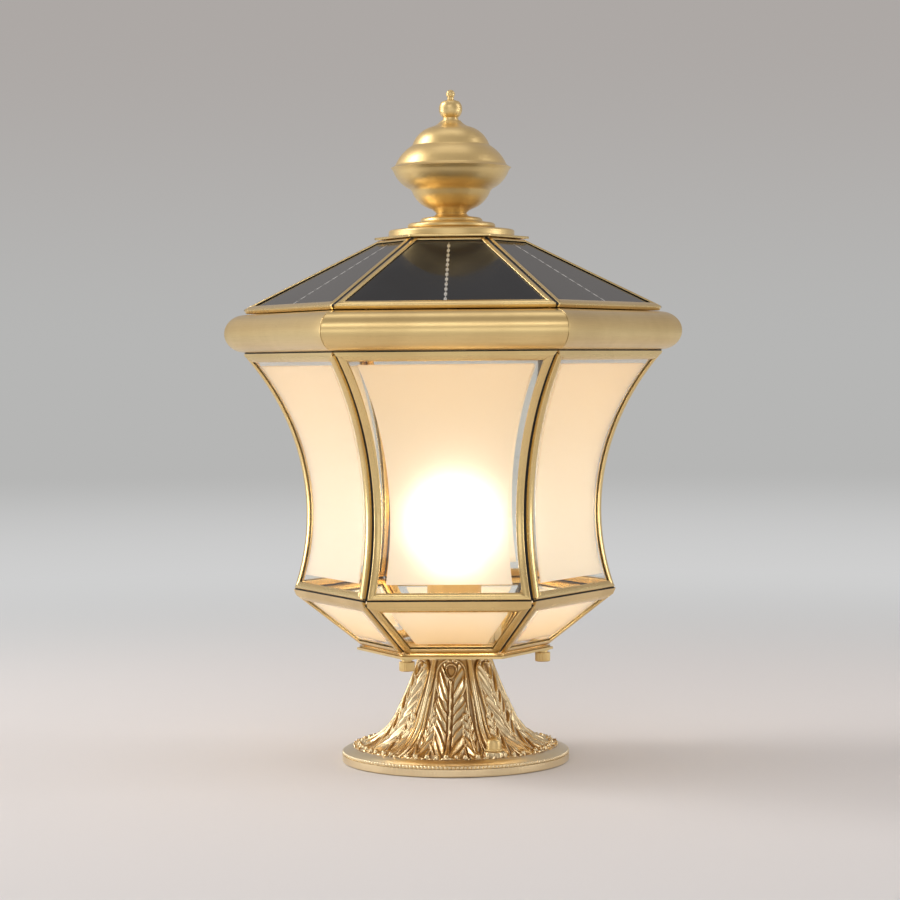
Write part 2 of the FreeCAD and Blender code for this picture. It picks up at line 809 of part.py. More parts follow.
def make_battery():
    """Cells side by side in an open case with a lid, on the left of the deck."""
    wall = dim.case_wall
    pitch = 2 * dim.cell_radius + dim.cell_gap
    half_width = battery_half_width()
    half_length = dim.cell_length / 2 + dim.cell_gap
    floor = deck_top + wall
    rim = floor + 2 * dim.cell_radius + dim.cell_gap
    middle = -dim.case_offset
    outer = block("case_outer", (middle - half_width - wall, -half_length - wall, deck_top),
                  (middle + half_width + wall, half_length + wall, rim))
    inner = block("case_inner", (middle - half_width, -half_length, floor),
                  (middle + half_width, half_length, rim + wall))
    keep("battery_case", cut("case_shell", outer, inner))
    keep("battery_lid", block("case_lid", (middle - half_width - wall, -half_length - wall, rim),
                              (middle + half_width + wall, half_length + wall, rim + dim.lid_thickness)))
    rolls = []
    for index in range(CELLS):
        cell = doc.addObject("Part::Cylinder", "cell_%d" % (index + 1))
        bind(cell, "Radius", dim.cell_radius)
        bind(cell, "Height", dim.cell_length)
        x = middle + pitch * (index - (CELLS - 1) / 2)
        place(cell, (x, -dim.cell_length / 2, floor + dim.cell_radius), (-1, 0, 0), degrees(90))
        rolls.append(cell)
    keep("battery_cells", group("cells", rolls))


def terminal_span():
    """Where the controller's terminals begin and end across it."""
    far = dim.controller_offset + dim.controller_width / 2
    return far - 2 * dim.terminal_width, far - dim.terminal_width / 2


def make_controller():
    """Potted charge controller with a row of terminals along its outer edge."""
    near = dim.controller_offset - dim.controller_width / 2
    far = dim.controller_offset + dim.controller_width / 2
    half = dim.controller_length / 2
    top = deck_top + dim.controller_height
    case = block("controller_case", (near, -half, deck_top), (far, half, top))
    first, last = terminal_span()
    rows = []
    for side in (-1, 1):
        middle = side * half / 2
        rows.append(block("terminals", (first, middle - dim.terminal_width / 2, top),
                          (last, middle + dim.terminal_width / 2, top + dim.terminal_height)))
    keep("charge_controller", join("controller", [case] + rows))


def lead_between(points, radius):
    """A lead of straight runs joined by tangent arcs, each as large as its two runs allow.

    Both ends stop just short of what they are soldered to.
    """
    points = [FreeCAD.Vector(*(as_size(part).value for part in point)) for point in points]
    gap = dim.lead_end_gap.value
    points[0] = points[0] + (points[1] - points[0]).normalize() * gap
    points[-1] = points[-1] + (points[-2] - points[-1]).normalize() * gap
    edges = []
    radii = []
    start = points[0]
    for before, corner, after in zip(points, points[1:], points[2:]):
        arriving = (corner - before).normalize()
        leaving = (after - corner).normalize()
        turn = arriving.getAngle(leaving)
        shorter = min((corner - before).Length, (after - corner).Length)
        taken = ARC_SHARE * shorter
        bend = taken / math.tan(turn / 2)
        radii.append(bend)
        first = corner - arriving * taken
        last = corner + leaving * taken
        towards = (leaving - arriving).normalize()
        middle = corner + towards * (bend / math.cos(turn / 2) - bend)
        edges.append(Part.LineSegment(start, first).toShape())
        edges.append(Part.Arc(first, middle, last).toShape())
        start = last
    edges.append(Part.LineSegment(start, points[-1]).toShape())
    path = Part.Wire(edges)
    section = Part.Wire([Part.Circle(points[0], points[1] - points[0], radius.value).toShape()])
    return path.makePipeShell([section], True, False), path.Length, radii


def lead(label, points, radius):
    """Adds a lead as one shape and prints its tightest bend and how its volume compares."""
    shape, length, radii = lead_between(points, radius)
    volume = math.pi * radius.value ** 2 * length
    print("%s: length %.1f, tightest bend %.1f, volume against section times length %.4f"
          % (label, length, min(radii, default=0), shape.Volume / volume))
    item = doc.addObject("Part::Feature", label)
    item.Shape = shape
    return item


def at_corner(radius, height):
    """A point in the plane of the corner that carries the main lead."""
    angle = degrees(LEAD_CORNER)
    return (radius * cosine(angle), radius * sine(angle), height)


def make_panel_leads():
    """Junction boxes behind the panels, jumpers between them, and two leads to the controller."""
    along = roof.length * JUNCTION_SHARE
    lift = dim.frame_wall + dim.pane_fit
    half = dim.junction_width / 2
    owner = roof.slab("junction_master", [rectangle(-half, half, along - dim.junction_height / 2,
                                                    along + dim.junction_height / 2)],
                      -dim.junction_depth, dim.junction_depth + lift)
    all_sides("junction_boxes", owner)
    apothem, height = roof.point(along, -dim.junction_depth / 2)
    corner = apothem * HALF_SIDE_SHARE
    front_corner = (corner, -apothem, height)
    turned_end = (apothem * sine(SIDE_ANGLE) - half * cosine(SIDE_ANGLE),
                  -(apothem * cosine(SIDE_ANGLE) + half * sine(SIDE_ANGLE)), height)
    jumper = lead("jumper_master", [(half, -apothem, height), front_corner, turned_end], dim.thin_lead_radius)
    jumpers = [turned_copy("jumper_%d" % side, jumper, side * 360 / SIDES) for side in range(2, SIDES + 1)]
    keep("panel_jumpers", group("jumpers", jumpers))
    start_x = apothem * sine(SIDE_ANGLE) + half * cosine(SIDE_ANGLE)
    start_y = apothem * cosine(SIDE_ANGLE) - half * sine(SIDE_ANGLE)
    first, last = terminal_span()
    end_x = (first + last) / 2
    end_y = dim.controller_length / 4
    end_z = deck_top + dim.controller_height + dim.terminal_height
    drop = height - end_z
    reach = start_y - end_y
    route = [(start_x, start_y, height)]
    for across, along_share, down in PANEL_LEAD_SHARES:
        route.append((start_x + reach * across, start_y + reach * along_share, height + drop * down))
    across, along_share, up = TERMINAL_LEAD_SHARES
    route += [(end_x + reach * across, end_y + reach * along_share, end_z + drop * up), (end_x, end_y, end_z)]
    leads = []
    for side in (-1, 1):
        leads.append(lead("panel_lead", [(x, side * y, z) for x, y, z in route], dim.thin_lead_radius))
    keep("panel_leads", group("panel_lead_pair", leads))


def make_battery_lead():
    """Short lead from the battery case to the controller, past the rod."""
    start = -dim.case_offset + battery_half_width() + dim.case_wall
    end = dim.controller_offset - dim.controller_width / 2
    gap = end - start
    level = deck_top + dim.controller_height / 2
    away = dim.controller_length / 3
    points = [(start, away, level)]
    points += [(start + gap * along, away, level + gap * up) for along, up in BATTERY_LEAD_SHARES]
    keep("battery_lead", lead("battery_wires", points + [(end, away, level)], dim.thin_lead_radius))


def make_main_lead():
    """Lead from the controller through the deck and down inside one corner to the plug."""
    plug_side = dim.socket_circle + dim.socket_length / 2
    plug_middle = plate_top + dim.socket_height + dim.plug_fit + dim.plug_height / 2
    tall = dim.eave_height - dim.waist_height
    up = dim.waist_height - plug_middle
    out = dim.waist_apothem - plug_side
    points = [at_corner(plug_side, plug_middle)]
    points += [at_corner(plug_side + out * away, plug_middle + up * rise) for away, rise in PLUG_LEAD_SHARES]
    waist_level = dim.waist_height + tall * WAIST_LEAD_SHARE
    points.append(at_corner(dim.waist_apothem + dim.lead_stand_off, waist_level))
    for share in SIDE_LEAD_SHARES:
        level = dim.waist_height + tall * share
        rise = level - CENTRE_HEIGHT
        apothem = CENTRE_APOTHEM - root(dim.side_bend_radius * dim.side_bend_radius - rise * rise)
        points.append(at_corner(apothem / CORNER_COSINE - dim.lead_stand_off, level))
    hole_x, hole_y, hole_z = at_corner(dim.deck_hole_circle, deck_bottom)
    points.append((hole_x, hole_y, hole_z - tall * DECK_LEAD_SHARE))
    end_y = dim.controller_length / 2
    back = hole_y - end_y
    end_z = deck_top + dim.controller_height / 2
    for across, along, rise in CONTROLLER_LEAD_SHARES:
        points.append((hole_x + back * across, hole_y + back * along, hole_z + back * rise))
    away, rise = CONTROLLER_END_SHARES
    points += [(dim.controller_offset, end_y + back * away, end_z + back * rise),
               (dim.controller_offset, end_y, end_z)]
    keep("main_lead", lead("main_lead_wires", points, dim.main_lead_radius))


def make_connector():
    """Socket on the bottom plate, and the plug that lifts out of it with the housing."""
    middle = dim.socket_circle
    near, far = middle - dim.socket_length / 2, middle + dim.socket_length / 2
    half = dim.socket_width / 2
    top = plate_top + dim.socket_height
    floor = plate_top + dim.socket_floor
    wall = dim.socket_wall
    outer = block("socket_outer", (near, -half, plate_top), (far, half, top))
    hollow = block("socket_hollow", (near + wall, wall - half, floor), (far - wall, half - wall, top + wall))
    keep("lead_socket", turned_copy("socket", cut("socket_shell", outer, hollow), LEAD_CORNER))
    fit = dim.plug_fit
    plug_low = top + fit
    plug_high = plug_low + dim.plug_height
    tongue = block("plug_tongue", (near + wall + fit, wall + fit - half, floor + fit),
                   (far - wall - fit, half - wall - fit, plug_low))
    head = block("plug_head", (near, -half, plug_low), (far, half, plug_high))
    foot_near = far + 2 * fit
    arm = block("plug_arm", (far, -half, plug_low), (foot_near + dim.plug_foot, half, plug_low + wall))
    foot = block("plug_foot_block", (dim.ring_opening + fit, -half, ring_top),
                 (foot_near + dim.plug_foot, half, plug_low + wall))
    plug = join("plug_solid", [tongue, head, arm, foot])
    keep("lead_plug", turned_copy("plug", plug, LEAD_CORNER))


def make_plates():
    """Bottom plate on the pedestal, and the housing's ring that stands on it."""
    stud_hole = dim.stud_radius + dim.stud_hole_fit
    tube_hole = [(ZERO, ZERO, dim.tube_radius + dim.rod_fit)]
    switch_hole = [(ZERO, dim.switch_circle, dim.switch_radius + dim.rod_fit)]
    keep("bottom_plate", plate("bottom_hexagon", dim.pedestal_height, dim.plate_thickness,
                               [hexagon(plate_apothem)],
                               tube_hole + switch_hole + holes_round(dim.stud_circle, stud_hole, NUTS, 0)))
    opening = [(ZERO, ZERO, dim.ring_opening)]
    bored = dim.stud_radius + dim.thread_fit
    keep("housing_ring", plate("ring_hexagon", plate_top, dim.ring_thickness, [hexagon(ring_apothem)],
                               opening + holes_round(dim.stud_circle, bored, NUTS, 0)))


def make_thumb_nuts():
    """Studs under the housing ring, with a washer and a knurled blind nut on each."""
    stud_low = dim.pedestal_height - dim.stud_reach
    washer_low = dim.pedestal_height - dim.washer_thickness
    neck_low = washer_low - dim.nut_neck_height
    nut_low = neck_low - dim.nut_height
    bore = dim.stud_radius + dim.thread_fit
    chamfer = dim.nut_chamfer
    studs = []
    for index in range(NUTS):
        angle = index * 360 / NUTS
        studs.append(turned_at("housing_stud", [
            (ZERO, stud_low), (dim.stud_radius, stud_low), (dim.stud_radius, ring_top), (ZERO, ring_top)],
            dim.stud_circle, angle))
        keep("thumb_washer_%d" % (index + 1), turned_at("washer_%d" % (index + 1), [
            (bore, washer_low), (dim.washer_radius, washer_low), (dim.washer_radius, dim.pedestal_height),
            (bore, dim.pedestal_height)], dim.stud_circle, angle))
        keep("thumb_nut_%d" % (index + 1), turned_at("nut_%d" % (index + 1), [
            (ZERO, nut_low), (dim.nut_radius - chamfer, nut_low), (dim.nut_radius, nut_low + chamfer),
            (dim.nut_radius, neck_low - chamfer / 2), (dim.nut_radius - chamfer / 2, neck_low),
            (dim.nut_neck_radius, neck_low), (dim.nut_neck_radius, washer_low), (bore, washer_low),
            (bore, nut_low + dim.nut_floor), (ZERO, nut_low + dim.nut_floor)], dim.stud_circle, angle))
    keep("housing_studs", group("stud_set", studs))


def make_lamp():
    """Brass cup, lamp holder and bulb."""
    cup_inside = dim.cup_radius - dim.cup_wall
    tube_hole = dim.tube_radius + dim.rod_fit
    bead = dim.cup_bead
    rim = cup_top - 2 * bead
    cup = turned("cup_turning", [
        (tube_hole, plate_top), (dim.cup_radius, plate_top), (dim.cup_radius, rim),
        (dim.cup_radius + bead, rim + bead, -bead), (dim.cup_radius, cup_top, -bead), (cup_inside, cup_top),
        (cup_inside, cup_floor_top), (tube_hole, cup_floor_top)])
    keep("lamp_cup", drilled("cup", cup, dim.thin_lead_radius + dim.lead_hole_fit, dim.cup_radius))
    holder_radius = cup_inside - dim.holder_gap
    seat = cup_floor_top + dim.holder_base
    thread_top = cup_floor_top + dim.holder_thread_depth
    socket_radius = dim.bulb_cap_radius + dim.bulb_cap_fit
    keep("lamp_holder", turned("holder", [
        (tube_hole, cup_floor_top), (holder_radius, cup_floor_top), (holder_radius, holder_top),
        (socket_radius, holder_top), (socket_radius, seat), (ZERO, seat), (ZERO, thread_top),
        (tube_hole, thread_top)]))
    screw_low = seat + dim.bulb_cap_gap
    collar_low = cup_top + dim.bulb_cap_gap
    collar_high = collar_low + dim.bulb_collar_height
    keep("bulb_cap", turned("screw_cap", [
        (ZERO, screw_low), (dim.bulb_cap_radius, screw_low), (dim.bulb_cap_radius, collar_low),
        (dim.bulb_neck_radius, collar_low), (dim.bulb_neck_radius, collar_high), (ZERO, collar_high)]))
    neck = dim.bulb_neck_radius
    globe = dim.bulb_radius
    inside = globe - dim.bulb_wall
    inner_neck = neck - dim.bulb_wall
    neck_top = collar_high + dim.bulb_neck_height
    middle = neck_top + root(globe * globe - neck * neck)
    inner_neck_top = middle - root(inside * inside - inner_neck * inner_neck)
    keep("bulb_globe", turned("globe", [
        (neck, collar_high), (neck, neck_top), (globe, middle, globe), (ZERO, middle + globe, globe),
        (ZERO, middle + inside), (inside, middle, -inside), (inner_neck, inner_neck_top, -inside),
        (inner_neck, collar_high)]))


def lead_hole_height():
    return plate_top + dim.socket_height / 2


def drilled(label, owner, radius, reach):
    """A turned body with one hole in its wall on the side of the main lead."""
    drill = doc.addObject("Part::Cylinder", label + "_drill")
    bind(drill, "Radius", radius)
    bind(drill, "Height", 2 * reach)
    angle = degrees(LEAD_CORNER)
    start = (reach / 2 * cosine(angle), reach / 2 * sine(angle), lead_hole_height())
    x, y, z = (part.text for part in start)
    drill.setExpression("Placement", (
        "create(<<placement>>; create(<<vector>>; %s; %s; %s); create(<<rotation>>; "
        "create(<<vector>>; %s; %s; 0); 90 deg))" % (x, y, z, (-sine(angle)).text, cosine(angle).text)))
    return cut(label + "_drilled", owner, drill)


def make_holder_lead():
    """Short lead from the socket through the cup's wall to the lamp holder."""
    start = dim.socket_circle - dim.socket_length / 2
    end = dim.cup_radius - dim.cup_wall - dim.holder_gap
    level = lead_hole_height()
    sag = dim.thin_lead_radius / 3
    keep("holder_lead", lead("holder_wires", [
        at_corner(start, level), at_corner((start + end) / 2, level - sag), at_corner(end, level)],
        dim.thin_lead_radius))


def make_switch():
    """Push switch that hangs through the bottom plate, with its button below."""
    low = dim.pedestal_height - dim.switch_flange_height
    top = plate_top + dim.switch_height
    fit = dim.button_fit
    bore = dim.button_radius + fit
    chamber = dim.button_collar_radius + fit
    chamber_low = dim.pedestal_height
    chamber_high = chamber_low + dim.button_collar_height + dim.button_travel + fit
    keep("switch_body", turned_at("switch", [
        (bore, low), (dim.switch_flange_radius, low), (dim.switch_flange_radius, dim.pedestal_height),
        (dim.switch_radius, dim.pedestal_height), (dim.switch_radius, top), (ZERO, top),
        (ZERO, chamber_high), (chamber, chamber_high), (chamber, chamber_low), (bore, chamber_low)],
        dim.switch_circle, 90))
    button_low = low - dim.button_reach
    collar_high = chamber_low + dim.button_collar_height
    round_off = dim.button_radius / 4
    keep("switch_button", turned_at("button", [
        (ZERO, button_low), (dim.button_radius - round_off, button_low),
        (dim.button_radius, button_low + round_off, round_off), (dim.button_radius, chamber_low),
        (dim.button_collar_radius, chamber_low), (dim.button_collar_radius, collar_high),
        (ZERO, collar_high)], dim.switch_circle, 90))


def raised_form(label, half_width, foot_half_width, top):
    """A block that stands through the skirt: its front view widens from a round arch down to its foot."""
    owner = body(label)
    low = dim.cavity_edge_height
    shoulder = top - half_width
    sketch = sketch_on(owner, "XZ_Plane")
    draw_loop(sketch, [
        (-foot_half_width, low), (foot_half_width, low), (half_width, shoulder), (ZERO, top, half_width),
        (-half_width, shoulder, half_width)])
    pad(owner, sketch, dim.rim_radius)
    return owner


def raised_round(label, master, first_turn):
    """Copies of a raised form, one for each side of the lantern."""
    return [turned_copy("%s_%d" % (label, k + 1), master, first_turn + k * 360 / SIDES) for k in range(SIDES)]


def make_hollows():
    """What is cast lower than the leaves, stems and nut seats, down to the skirt's ground."""
    depth = dim.leaf_depth
    ceiling = dim.pedestal_height - dim.pedestal_top_height
    edge = dim.skirt_radius - dim.leaf_land
    ring = turned("hollow_ring", [
        (edge, dim.skirt_height - depth),
        (dim.shank_radius - depth, dim.shank_height - depth / 2, -(dim.skirt_bend + depth)),
        (dim.pedestal_top_radius - depth, ceiling, -dim.shank_bend), (edge, ceiling)])
    leaf = raised_form("leaf_block", dim.leaf_half_width, dim.leaf_foot_half_width, dim.leaf_top_height)
    side_leaf = raised_form("side_leaf_block", dim.side_leaf_half_width, dim.side_leaf_foot_half_width,
                            dim.side_leaf_top_height)
    stem = raised_form("stem_block", dim.stem_half_width, dim.stem_foot_half_width,
                       dim.pedestal_height + dim.stem_half_width)
    seats = plate("seat_blocks", ZERO, dim.pedestal_height, [],
                  holes_round(dim.base_nut_circle, dim.boss_radius, BASE_NUTS, BASE_NUT_ANGLE))
    kept = [seats]
    kept += raised_round("leaf", leaf, LEAF_TURN)
    kept += raised_round("left_side_leaf", side_leaf, LEAF_TURN - SIDE_LEAF_TURN)
    kept += raised_round("right_side_leaf", side_leaf, LEAF_TURN + SIDE_LEAF_TURN)
    kept += raised_round("stem", stem, LEAF_TURN + 180 / SIDES)
    return cut("hollows", ring, join("raised_forms", kept))


def make_pedestal():
    """Hollow cast pedestal: a flaring skirt of leaves and stems on a rim, with a seat for each nut."""
    top = dim.pedestal_height
    wall = dim.pedestal_wall
    bore = dim.tube_radius + dim.rod_fit
    bead = dim.bead_radius
    ceiling = top - dim.pedestal_top_height
    rim_top = dim.rim_height + 2 * bead
    inside = dim.mount_plate_radius + dim.mount_plate_fit
    owner = turned("pedestal_casting", [
        (inside, ZERO), (dim.rim_radius - bead, ZERO), (dim.rim_radius, bead, bead),
        (dim.rim_radius, dim.rim_height), (dim.rim_radius - bead, dim.rim_height),
        (dim.rim_radius, dim.rim_height + bead, bead), (dim.rim_radius - bead, rim_top, bead),
        (dim.skirt_radius, dim.skirt_height), (dim.shank_radius, dim.shank_height, -dim.skirt_bend),
        (dim.pedestal_top_radius, ceiling, -dim.shank_bend), (dim.pedestal_top_radius, top), (bore, top),
        (bore, ceiling), (dim.pedestal_top_radius - wall, ceiling),
        (dim.shank_radius - wall, dim.shank_height - wall / 2, dim.shank_bend),
        (inside, dim.cavity_edge_height, dim.skirt_bend + wall)])
    seats = sketch_on(owner, "XY_Plane", dim.cavity_edge_height + wall)
    draw_circles(seats, holes_round(dim.base_nut_circle, dim.boss_radius, BASE_NUTS, BASE_NUT_ANGLE))
    pad(owner, seats, dim.boss_height - dim.cavity_edge_height - wall)
    faces = sketch_on(owner, "XY_Plane", dim.boss_height)
    spot = dim.base_nut_radius + dim.base_nut_bead + dim.joint_gap
    draw_circles(faces, holes_round(dim.base_nut_circle, spot, BASE_NUTS, BASE_NUT_ANGLE))
    pocket(owner, faces, dim.base_nut_height)
    bores = sketch_on(owner, "XY_Plane", ZERO)
    hole = dim.base_stud_radius + dim.stud_hole_fit
    draw_circles(bores, holes_round(dim.base_nut_circle, hole, BASE_NUTS, BASE_NUT_ANGLE))
    pocket(owner, bores, dim.pedestal_height)
    keep("pedestal", cut("pedestal_relief", owner, make_hollows()))


def make_tube():
    """Threaded tube through the pedestal's top, the plate and the cup into the holder, and its nut."""
    ceiling = dim.pedestal_height - dim.pedestal_top_height
    nut_low = ceiling - dim.tube_nut_height
    low = nut_low - dim.tube_tail
    high = cup_floor_top + dim.holder_thread_depth - dim.joint_gap
    keep("pedestal_tube", turned("tube", [
        (dim.tube_bore, low), (dim.tube_radius, low), (dim.tube_radius, high), (dim.tube_bore, high)]))
    keep("tube_nut", plate("tube_hexagon", nut_low, dim.tube_nut_height,
                           [hexagon(dim.tube_nut_radius * CORNER_COSINE)],
                           [(ZERO, ZERO, dim.tube_radius + dim.thread_fit)]))


def make_mounting():
    """Steel plate for the post, its two studs and the crowned nuts that hold the pedestal down."""
    stud_hole = dim.base_stud_radius + dim.thread_fit
    opening = [(ZERO, ZERO, dim.mount_plate_opening)]
    owner = body("mounting_disc")
    sketch = sketch_on(owner, "XY_Plane", ZERO)
    draw_circle(sketch, ZERO, ZERO, dim.mount_plate_radius)
    draw_circles(sketch, opening + holes_round(dim.post_screw_circle, dim.post_screw_hole, NUTS, 0)
                 + holes_round(dim.base_nut_circle, stud_hole, BASE_NUTS, BASE_NUT_ANGLE))
    pad(owner, sketch, dim.mount_plate_thickness)
    keep("mounting_plate", owner)
    seat = dim.boss_height
    top = seat + dim.base_nut_height
    crown_low = top - dim.base_nut_crown
    nut = dim.base_nut_radius
    bead = dim.base_nut_bead
    stud_top = seat + dim.base_nut_height / 2
    crown_edge = nut - bead
    crown = (crown_edge * crown_edge / dim.base_nut_crown + dim.base_nut_crown) / 2
    studs = []
    nuts = []
    for index in range(BASE_NUTS):
        angle = BASE_NUT_ANGLE + index * 360 / BASE_NUTS
        studs.append(turned_at("base_stud", [
            (ZERO, ZERO), (dim.base_stud_radius, ZERO), (dim.base_stud_radius, stud_top), (ZERO, stud_top)],
            dim.base_nut_circle, angle))
        nuts.append(turned_at("base_nut", [
            (stud_hole, seat), (nut, seat), (nut + bead, seat + bead, bead), (nut, seat + 2 * bead, bead),
            (crown_edge, crown_low), (ZERO, top, crown), (ZERO, stud_top + bead),
            (stud_hole, stud_top + bead)], dim.base_nut_circle, angle))
    keep("mounting_studs", group("base_studs", studs))
    keep("mounting_nuts", group("base_nuts", nuts))


def check_objects():
    """Stops with a plain message if any object failed or any piece is not sound."""
    for item in doc.Objects:
        if "Invalid" in item.State or "Error" in item.State:
            raise SystemExit("failed object: %s %s" % (item.Label, item.State))
    for label, item in NODES.items():
        shape = item.Shape
        if shape.isNull() or not shape.isValid() or not shape.Solids or shape.Volume <= 0:
            raise SystemExit("unsound piece: %s" % label)


def main():
    make_sides()
    make_lower_sides()
    make_moulding()
    make_roof()
    make_finial()
    make_battery()
    make_controller()
    make_panel_leads()
    make_battery_lead()
    make_main_lead()
    make_connector()
    make_plates()
    make_thumb_nuts()
    make_lamp()
    make_holder_lead()
    make_switch()
    make_pedestal()
    make_tube()
    make_mounting()
    doc.recompute()
    check_objects()
    os.makedirs("parts", exist_ok=True)
    for label, item in NODES.items():
        item.Shape.exportStep("parts/%s.step" % label)
    print("%d pieces, %d solids" % (len(NODES), sum(len(item.Shape.Solids) for item in NODES.values())))


main()
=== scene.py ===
"""Solar post lantern: the finish of every surface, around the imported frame. Metres, +Z up.

The front side faces -Y. "Apothem" is the distance from the lantern's axis to a flat side.
"""
import math

import bmesh
import bpy
import numpy as np
from mathutils import Matrix, Vector


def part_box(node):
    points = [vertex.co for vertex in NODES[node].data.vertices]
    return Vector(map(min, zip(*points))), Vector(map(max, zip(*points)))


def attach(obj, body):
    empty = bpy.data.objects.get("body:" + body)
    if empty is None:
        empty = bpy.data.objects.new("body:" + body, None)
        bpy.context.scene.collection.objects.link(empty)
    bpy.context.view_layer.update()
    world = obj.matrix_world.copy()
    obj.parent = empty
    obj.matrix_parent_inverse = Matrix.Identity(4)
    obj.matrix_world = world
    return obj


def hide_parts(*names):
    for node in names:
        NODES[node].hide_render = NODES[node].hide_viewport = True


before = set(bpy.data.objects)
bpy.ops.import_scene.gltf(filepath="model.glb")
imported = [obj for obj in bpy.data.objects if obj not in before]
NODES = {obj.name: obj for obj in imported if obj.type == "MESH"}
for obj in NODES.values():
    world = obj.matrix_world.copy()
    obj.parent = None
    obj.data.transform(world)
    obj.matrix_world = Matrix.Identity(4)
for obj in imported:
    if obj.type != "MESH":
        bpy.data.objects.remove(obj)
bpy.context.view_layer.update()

MM = 0.001
SIDES = 6
NUTS = 3
HALF_SIDE = math.tan(math.pi / SIDES)
SIDE_TURN = 2 * math.pi / SIDES

# bent glass sides, along their inner face
WAIST_APOTHEM = 88.4 * MM
WAIST_HEIGHT = 112.1 * MM
EAVE_APOTHEM = 115.7 * MM
EAVE_HEIGHT = 267.7 * MM
BEND_RADIUS = 175.5 * MM
# channel round every pane
CHANNEL_WALL = 0.6 * MM
PANE_DEPTH = 4.0 * MM
SOLAR_DEPTH = 3.6 * MM
PANE_LIFT = 0.8 * MM
PANE_EDGE = 0.9 * MM
PANE_BEVEL = 0.05 * MM
SEAM = 0.25 * MM
SIDE_LIP = 5.0 * MM
LOWER_LIP = 5.2 * MM
ROOF_LIP = 3.6 * MM
ROOF_FOOT_LIP = 5.2 * MM
JOINT_GAP = 0.1 * MM
WAIST_GAP = 0.3 * MM
BAR_GAP = 0.06 * MM
BAR_PINCH = 0.28
CAP_OVERHANG = 2.6 * MM
RING_MARGIN = 0.4 * MM
# how far a pane's frosted field and a panel's black one stand in from the edge: sides, foot, head
SIDE_FIELD = (SIDE_LIP + 5.2 * MM, SIDE_LIP + 5.5 * MM, SIDE_LIP + 3.9 * MM)
LOWER_FIELD = (LOWER_LIP + 5.4 * MM, LOWER_LIP + 5.0 * MM, LOWER_LIP + 2.4 * MM)
SOLAR_FIELD = (2.4 * MM, 2.4 * MM, 2.4 * MM)
SOLAR_BEVEL = 0.2 * MM
BEVEL_STEPS = 4
# how far the map of each side is moved on, so that no two sides are brushed alike
MAP_SHIFT = 0.37


def low_of(node):
    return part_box(node)[0]


def high_of(node):
    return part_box(node)[1]


# levels and radii read from the frame
RING_TOP = high_of("housing_ring").z
RING_APOTHEM = high_of("housing_ring").y
MOULDING_LOW = low_of("eave_moulding").z
MOULDING_HIGH = high_of("eave_moulding").z
MOULDING_RADIUS = (MOULDING_HIGH - MOULDING_LOW) / 2
MOULDING_APOTHEM = high_of("eave_moulding").y - MOULDING_RADIUS
CAP_LOW = low_of("roof_cap").z
CAP_HIGH = high_of("roof_cap").z
CAP_APOTHEM = high_of("roof_cap").y


# meshes from numpy grids

def grid_faces(rows, columns, wrap):
    """Quads between neighbouring points of a rows x columns grid, joined up round where it wraps."""
    i = columns * np.arange(rows - 1)[:, None]
    j = np.arange(columns if wrap else columns - 1)[None, :]
    after = (j + 1) % columns
    return np.stack([i + j, i + after, i + columns + after, i + columns + j], -1).reshape(-1, 4)


class Build:
    """Collects grids of points, with a material number and a map of distances for each, into one mesh."""

    def __init__(self):
        self.points = []
        self.faces = []
        self.uvs = []
        self.numbers = []
        self.count = 0

    def grid(self, points, wrap=False, number=0, uv=None):
        """Adds a grid (rows, columns, 3). Its faces point to (along columns) x (along rows)."""
        rows, columns = points.shape[:2]
        quads = grid_faces(rows, columns, wrap)
        if uv is None:
            uv = points[..., :2]
        shape = (rows - 1, columns if wrap else columns - 1)
        self.points.append(points.reshape(-1, 3))
        self.faces.append(self.count + quads)
        self.uvs.append(uv.reshape(-1, 2)[quads].reshape(-1, 2))
        self.numbers.append(np.broadcast_to(np.asarray(number), shape).reshape(-1))
        self.count += rows * columns

    def finish(self, name, sharp=35, merge=0.01 * MM, shade=None, fill=False):
        """One object, its seams and poles closed and its faces outwards, smooth up to a sharp angle.

        shade is a painted shade from 0 to 1 for each point, kept as the attribute "Relief"; fill closes
        open ends.
        """
        mesh = bpy.data.meshes.new(name)
        points = np.concatenate(self.points)
        faces = np.concatenate(self.faces)
        mesh.from_pydata(points.tolist(), [], faces.tolist())
        mesh.polygons.foreach_set("material_index", np.concatenate(self.numbers).astype(np.int32))
        layer = mesh.uv_layers.new(name="Along")
        layer.data.foreach_set("uv", np.concatenate(self.uvs).astype(np.float32).ravel())
        if shade is not None:
            relief = mesh.attributes.new("Relief", "FLOAT", "POINT")
            relief.data.foreach_set("value", shade.astype(np.float32))
        cleaner = bmesh.new()
        cleaner.from_mesh(mesh)
        bmesh.ops.remove_doubles(cleaner, verts=cleaner.verts, dist=merge)
        if fill:
            bmesh.ops.holes_fill(cleaner, edges=cleaner.edges, sides=0)
        bmesh.ops.recalc_face_normals(cleaner, faces=cleaner.faces)
        cleaner.to_mesh(mesh)
        cleaner.free()
        mesh.shade_smooth()
        mesh.set_sharp_from_angle(angle=math.radians(sharp))
        piece = bpy.data.objects.new(name, mesh)
        bpy.context.scene.collection.objects.link(piece)
        return piece


def dress(piece, body, slot, *replaced, finishes=None):
    """Gives a piece its finishes (by default the one named after its slot), sets it under its body and
    hides the nodes it replaces.
    """
    for name in finishes or (slot,):
        piece.data.materials.append(MATERIALS[name])
    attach(piece, body)
    if replaced:
        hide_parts(*replaced)


def turned_about(points, angle):
    """Points turned about the lantern's axis."""
    c, s = math.cos(angle), math.sin(angle)
    return np.stack([points[..., 0] * c - points[..., 1] * s,
                     points[..., 0] * s + points[..., 1] * c, points[..., 2]], -1)


def sweep(centre, radius, start, end, steps):
    """Points of an arc about a centre, from one angle to another in degrees."""
    turns = np.radians(np.linspace(start, end, steps))
    return np.stack([centre[0] + radius * np.cos(turns), centre[1] + radius * np.sin(turns)], -1)


ARC_STEP = 6


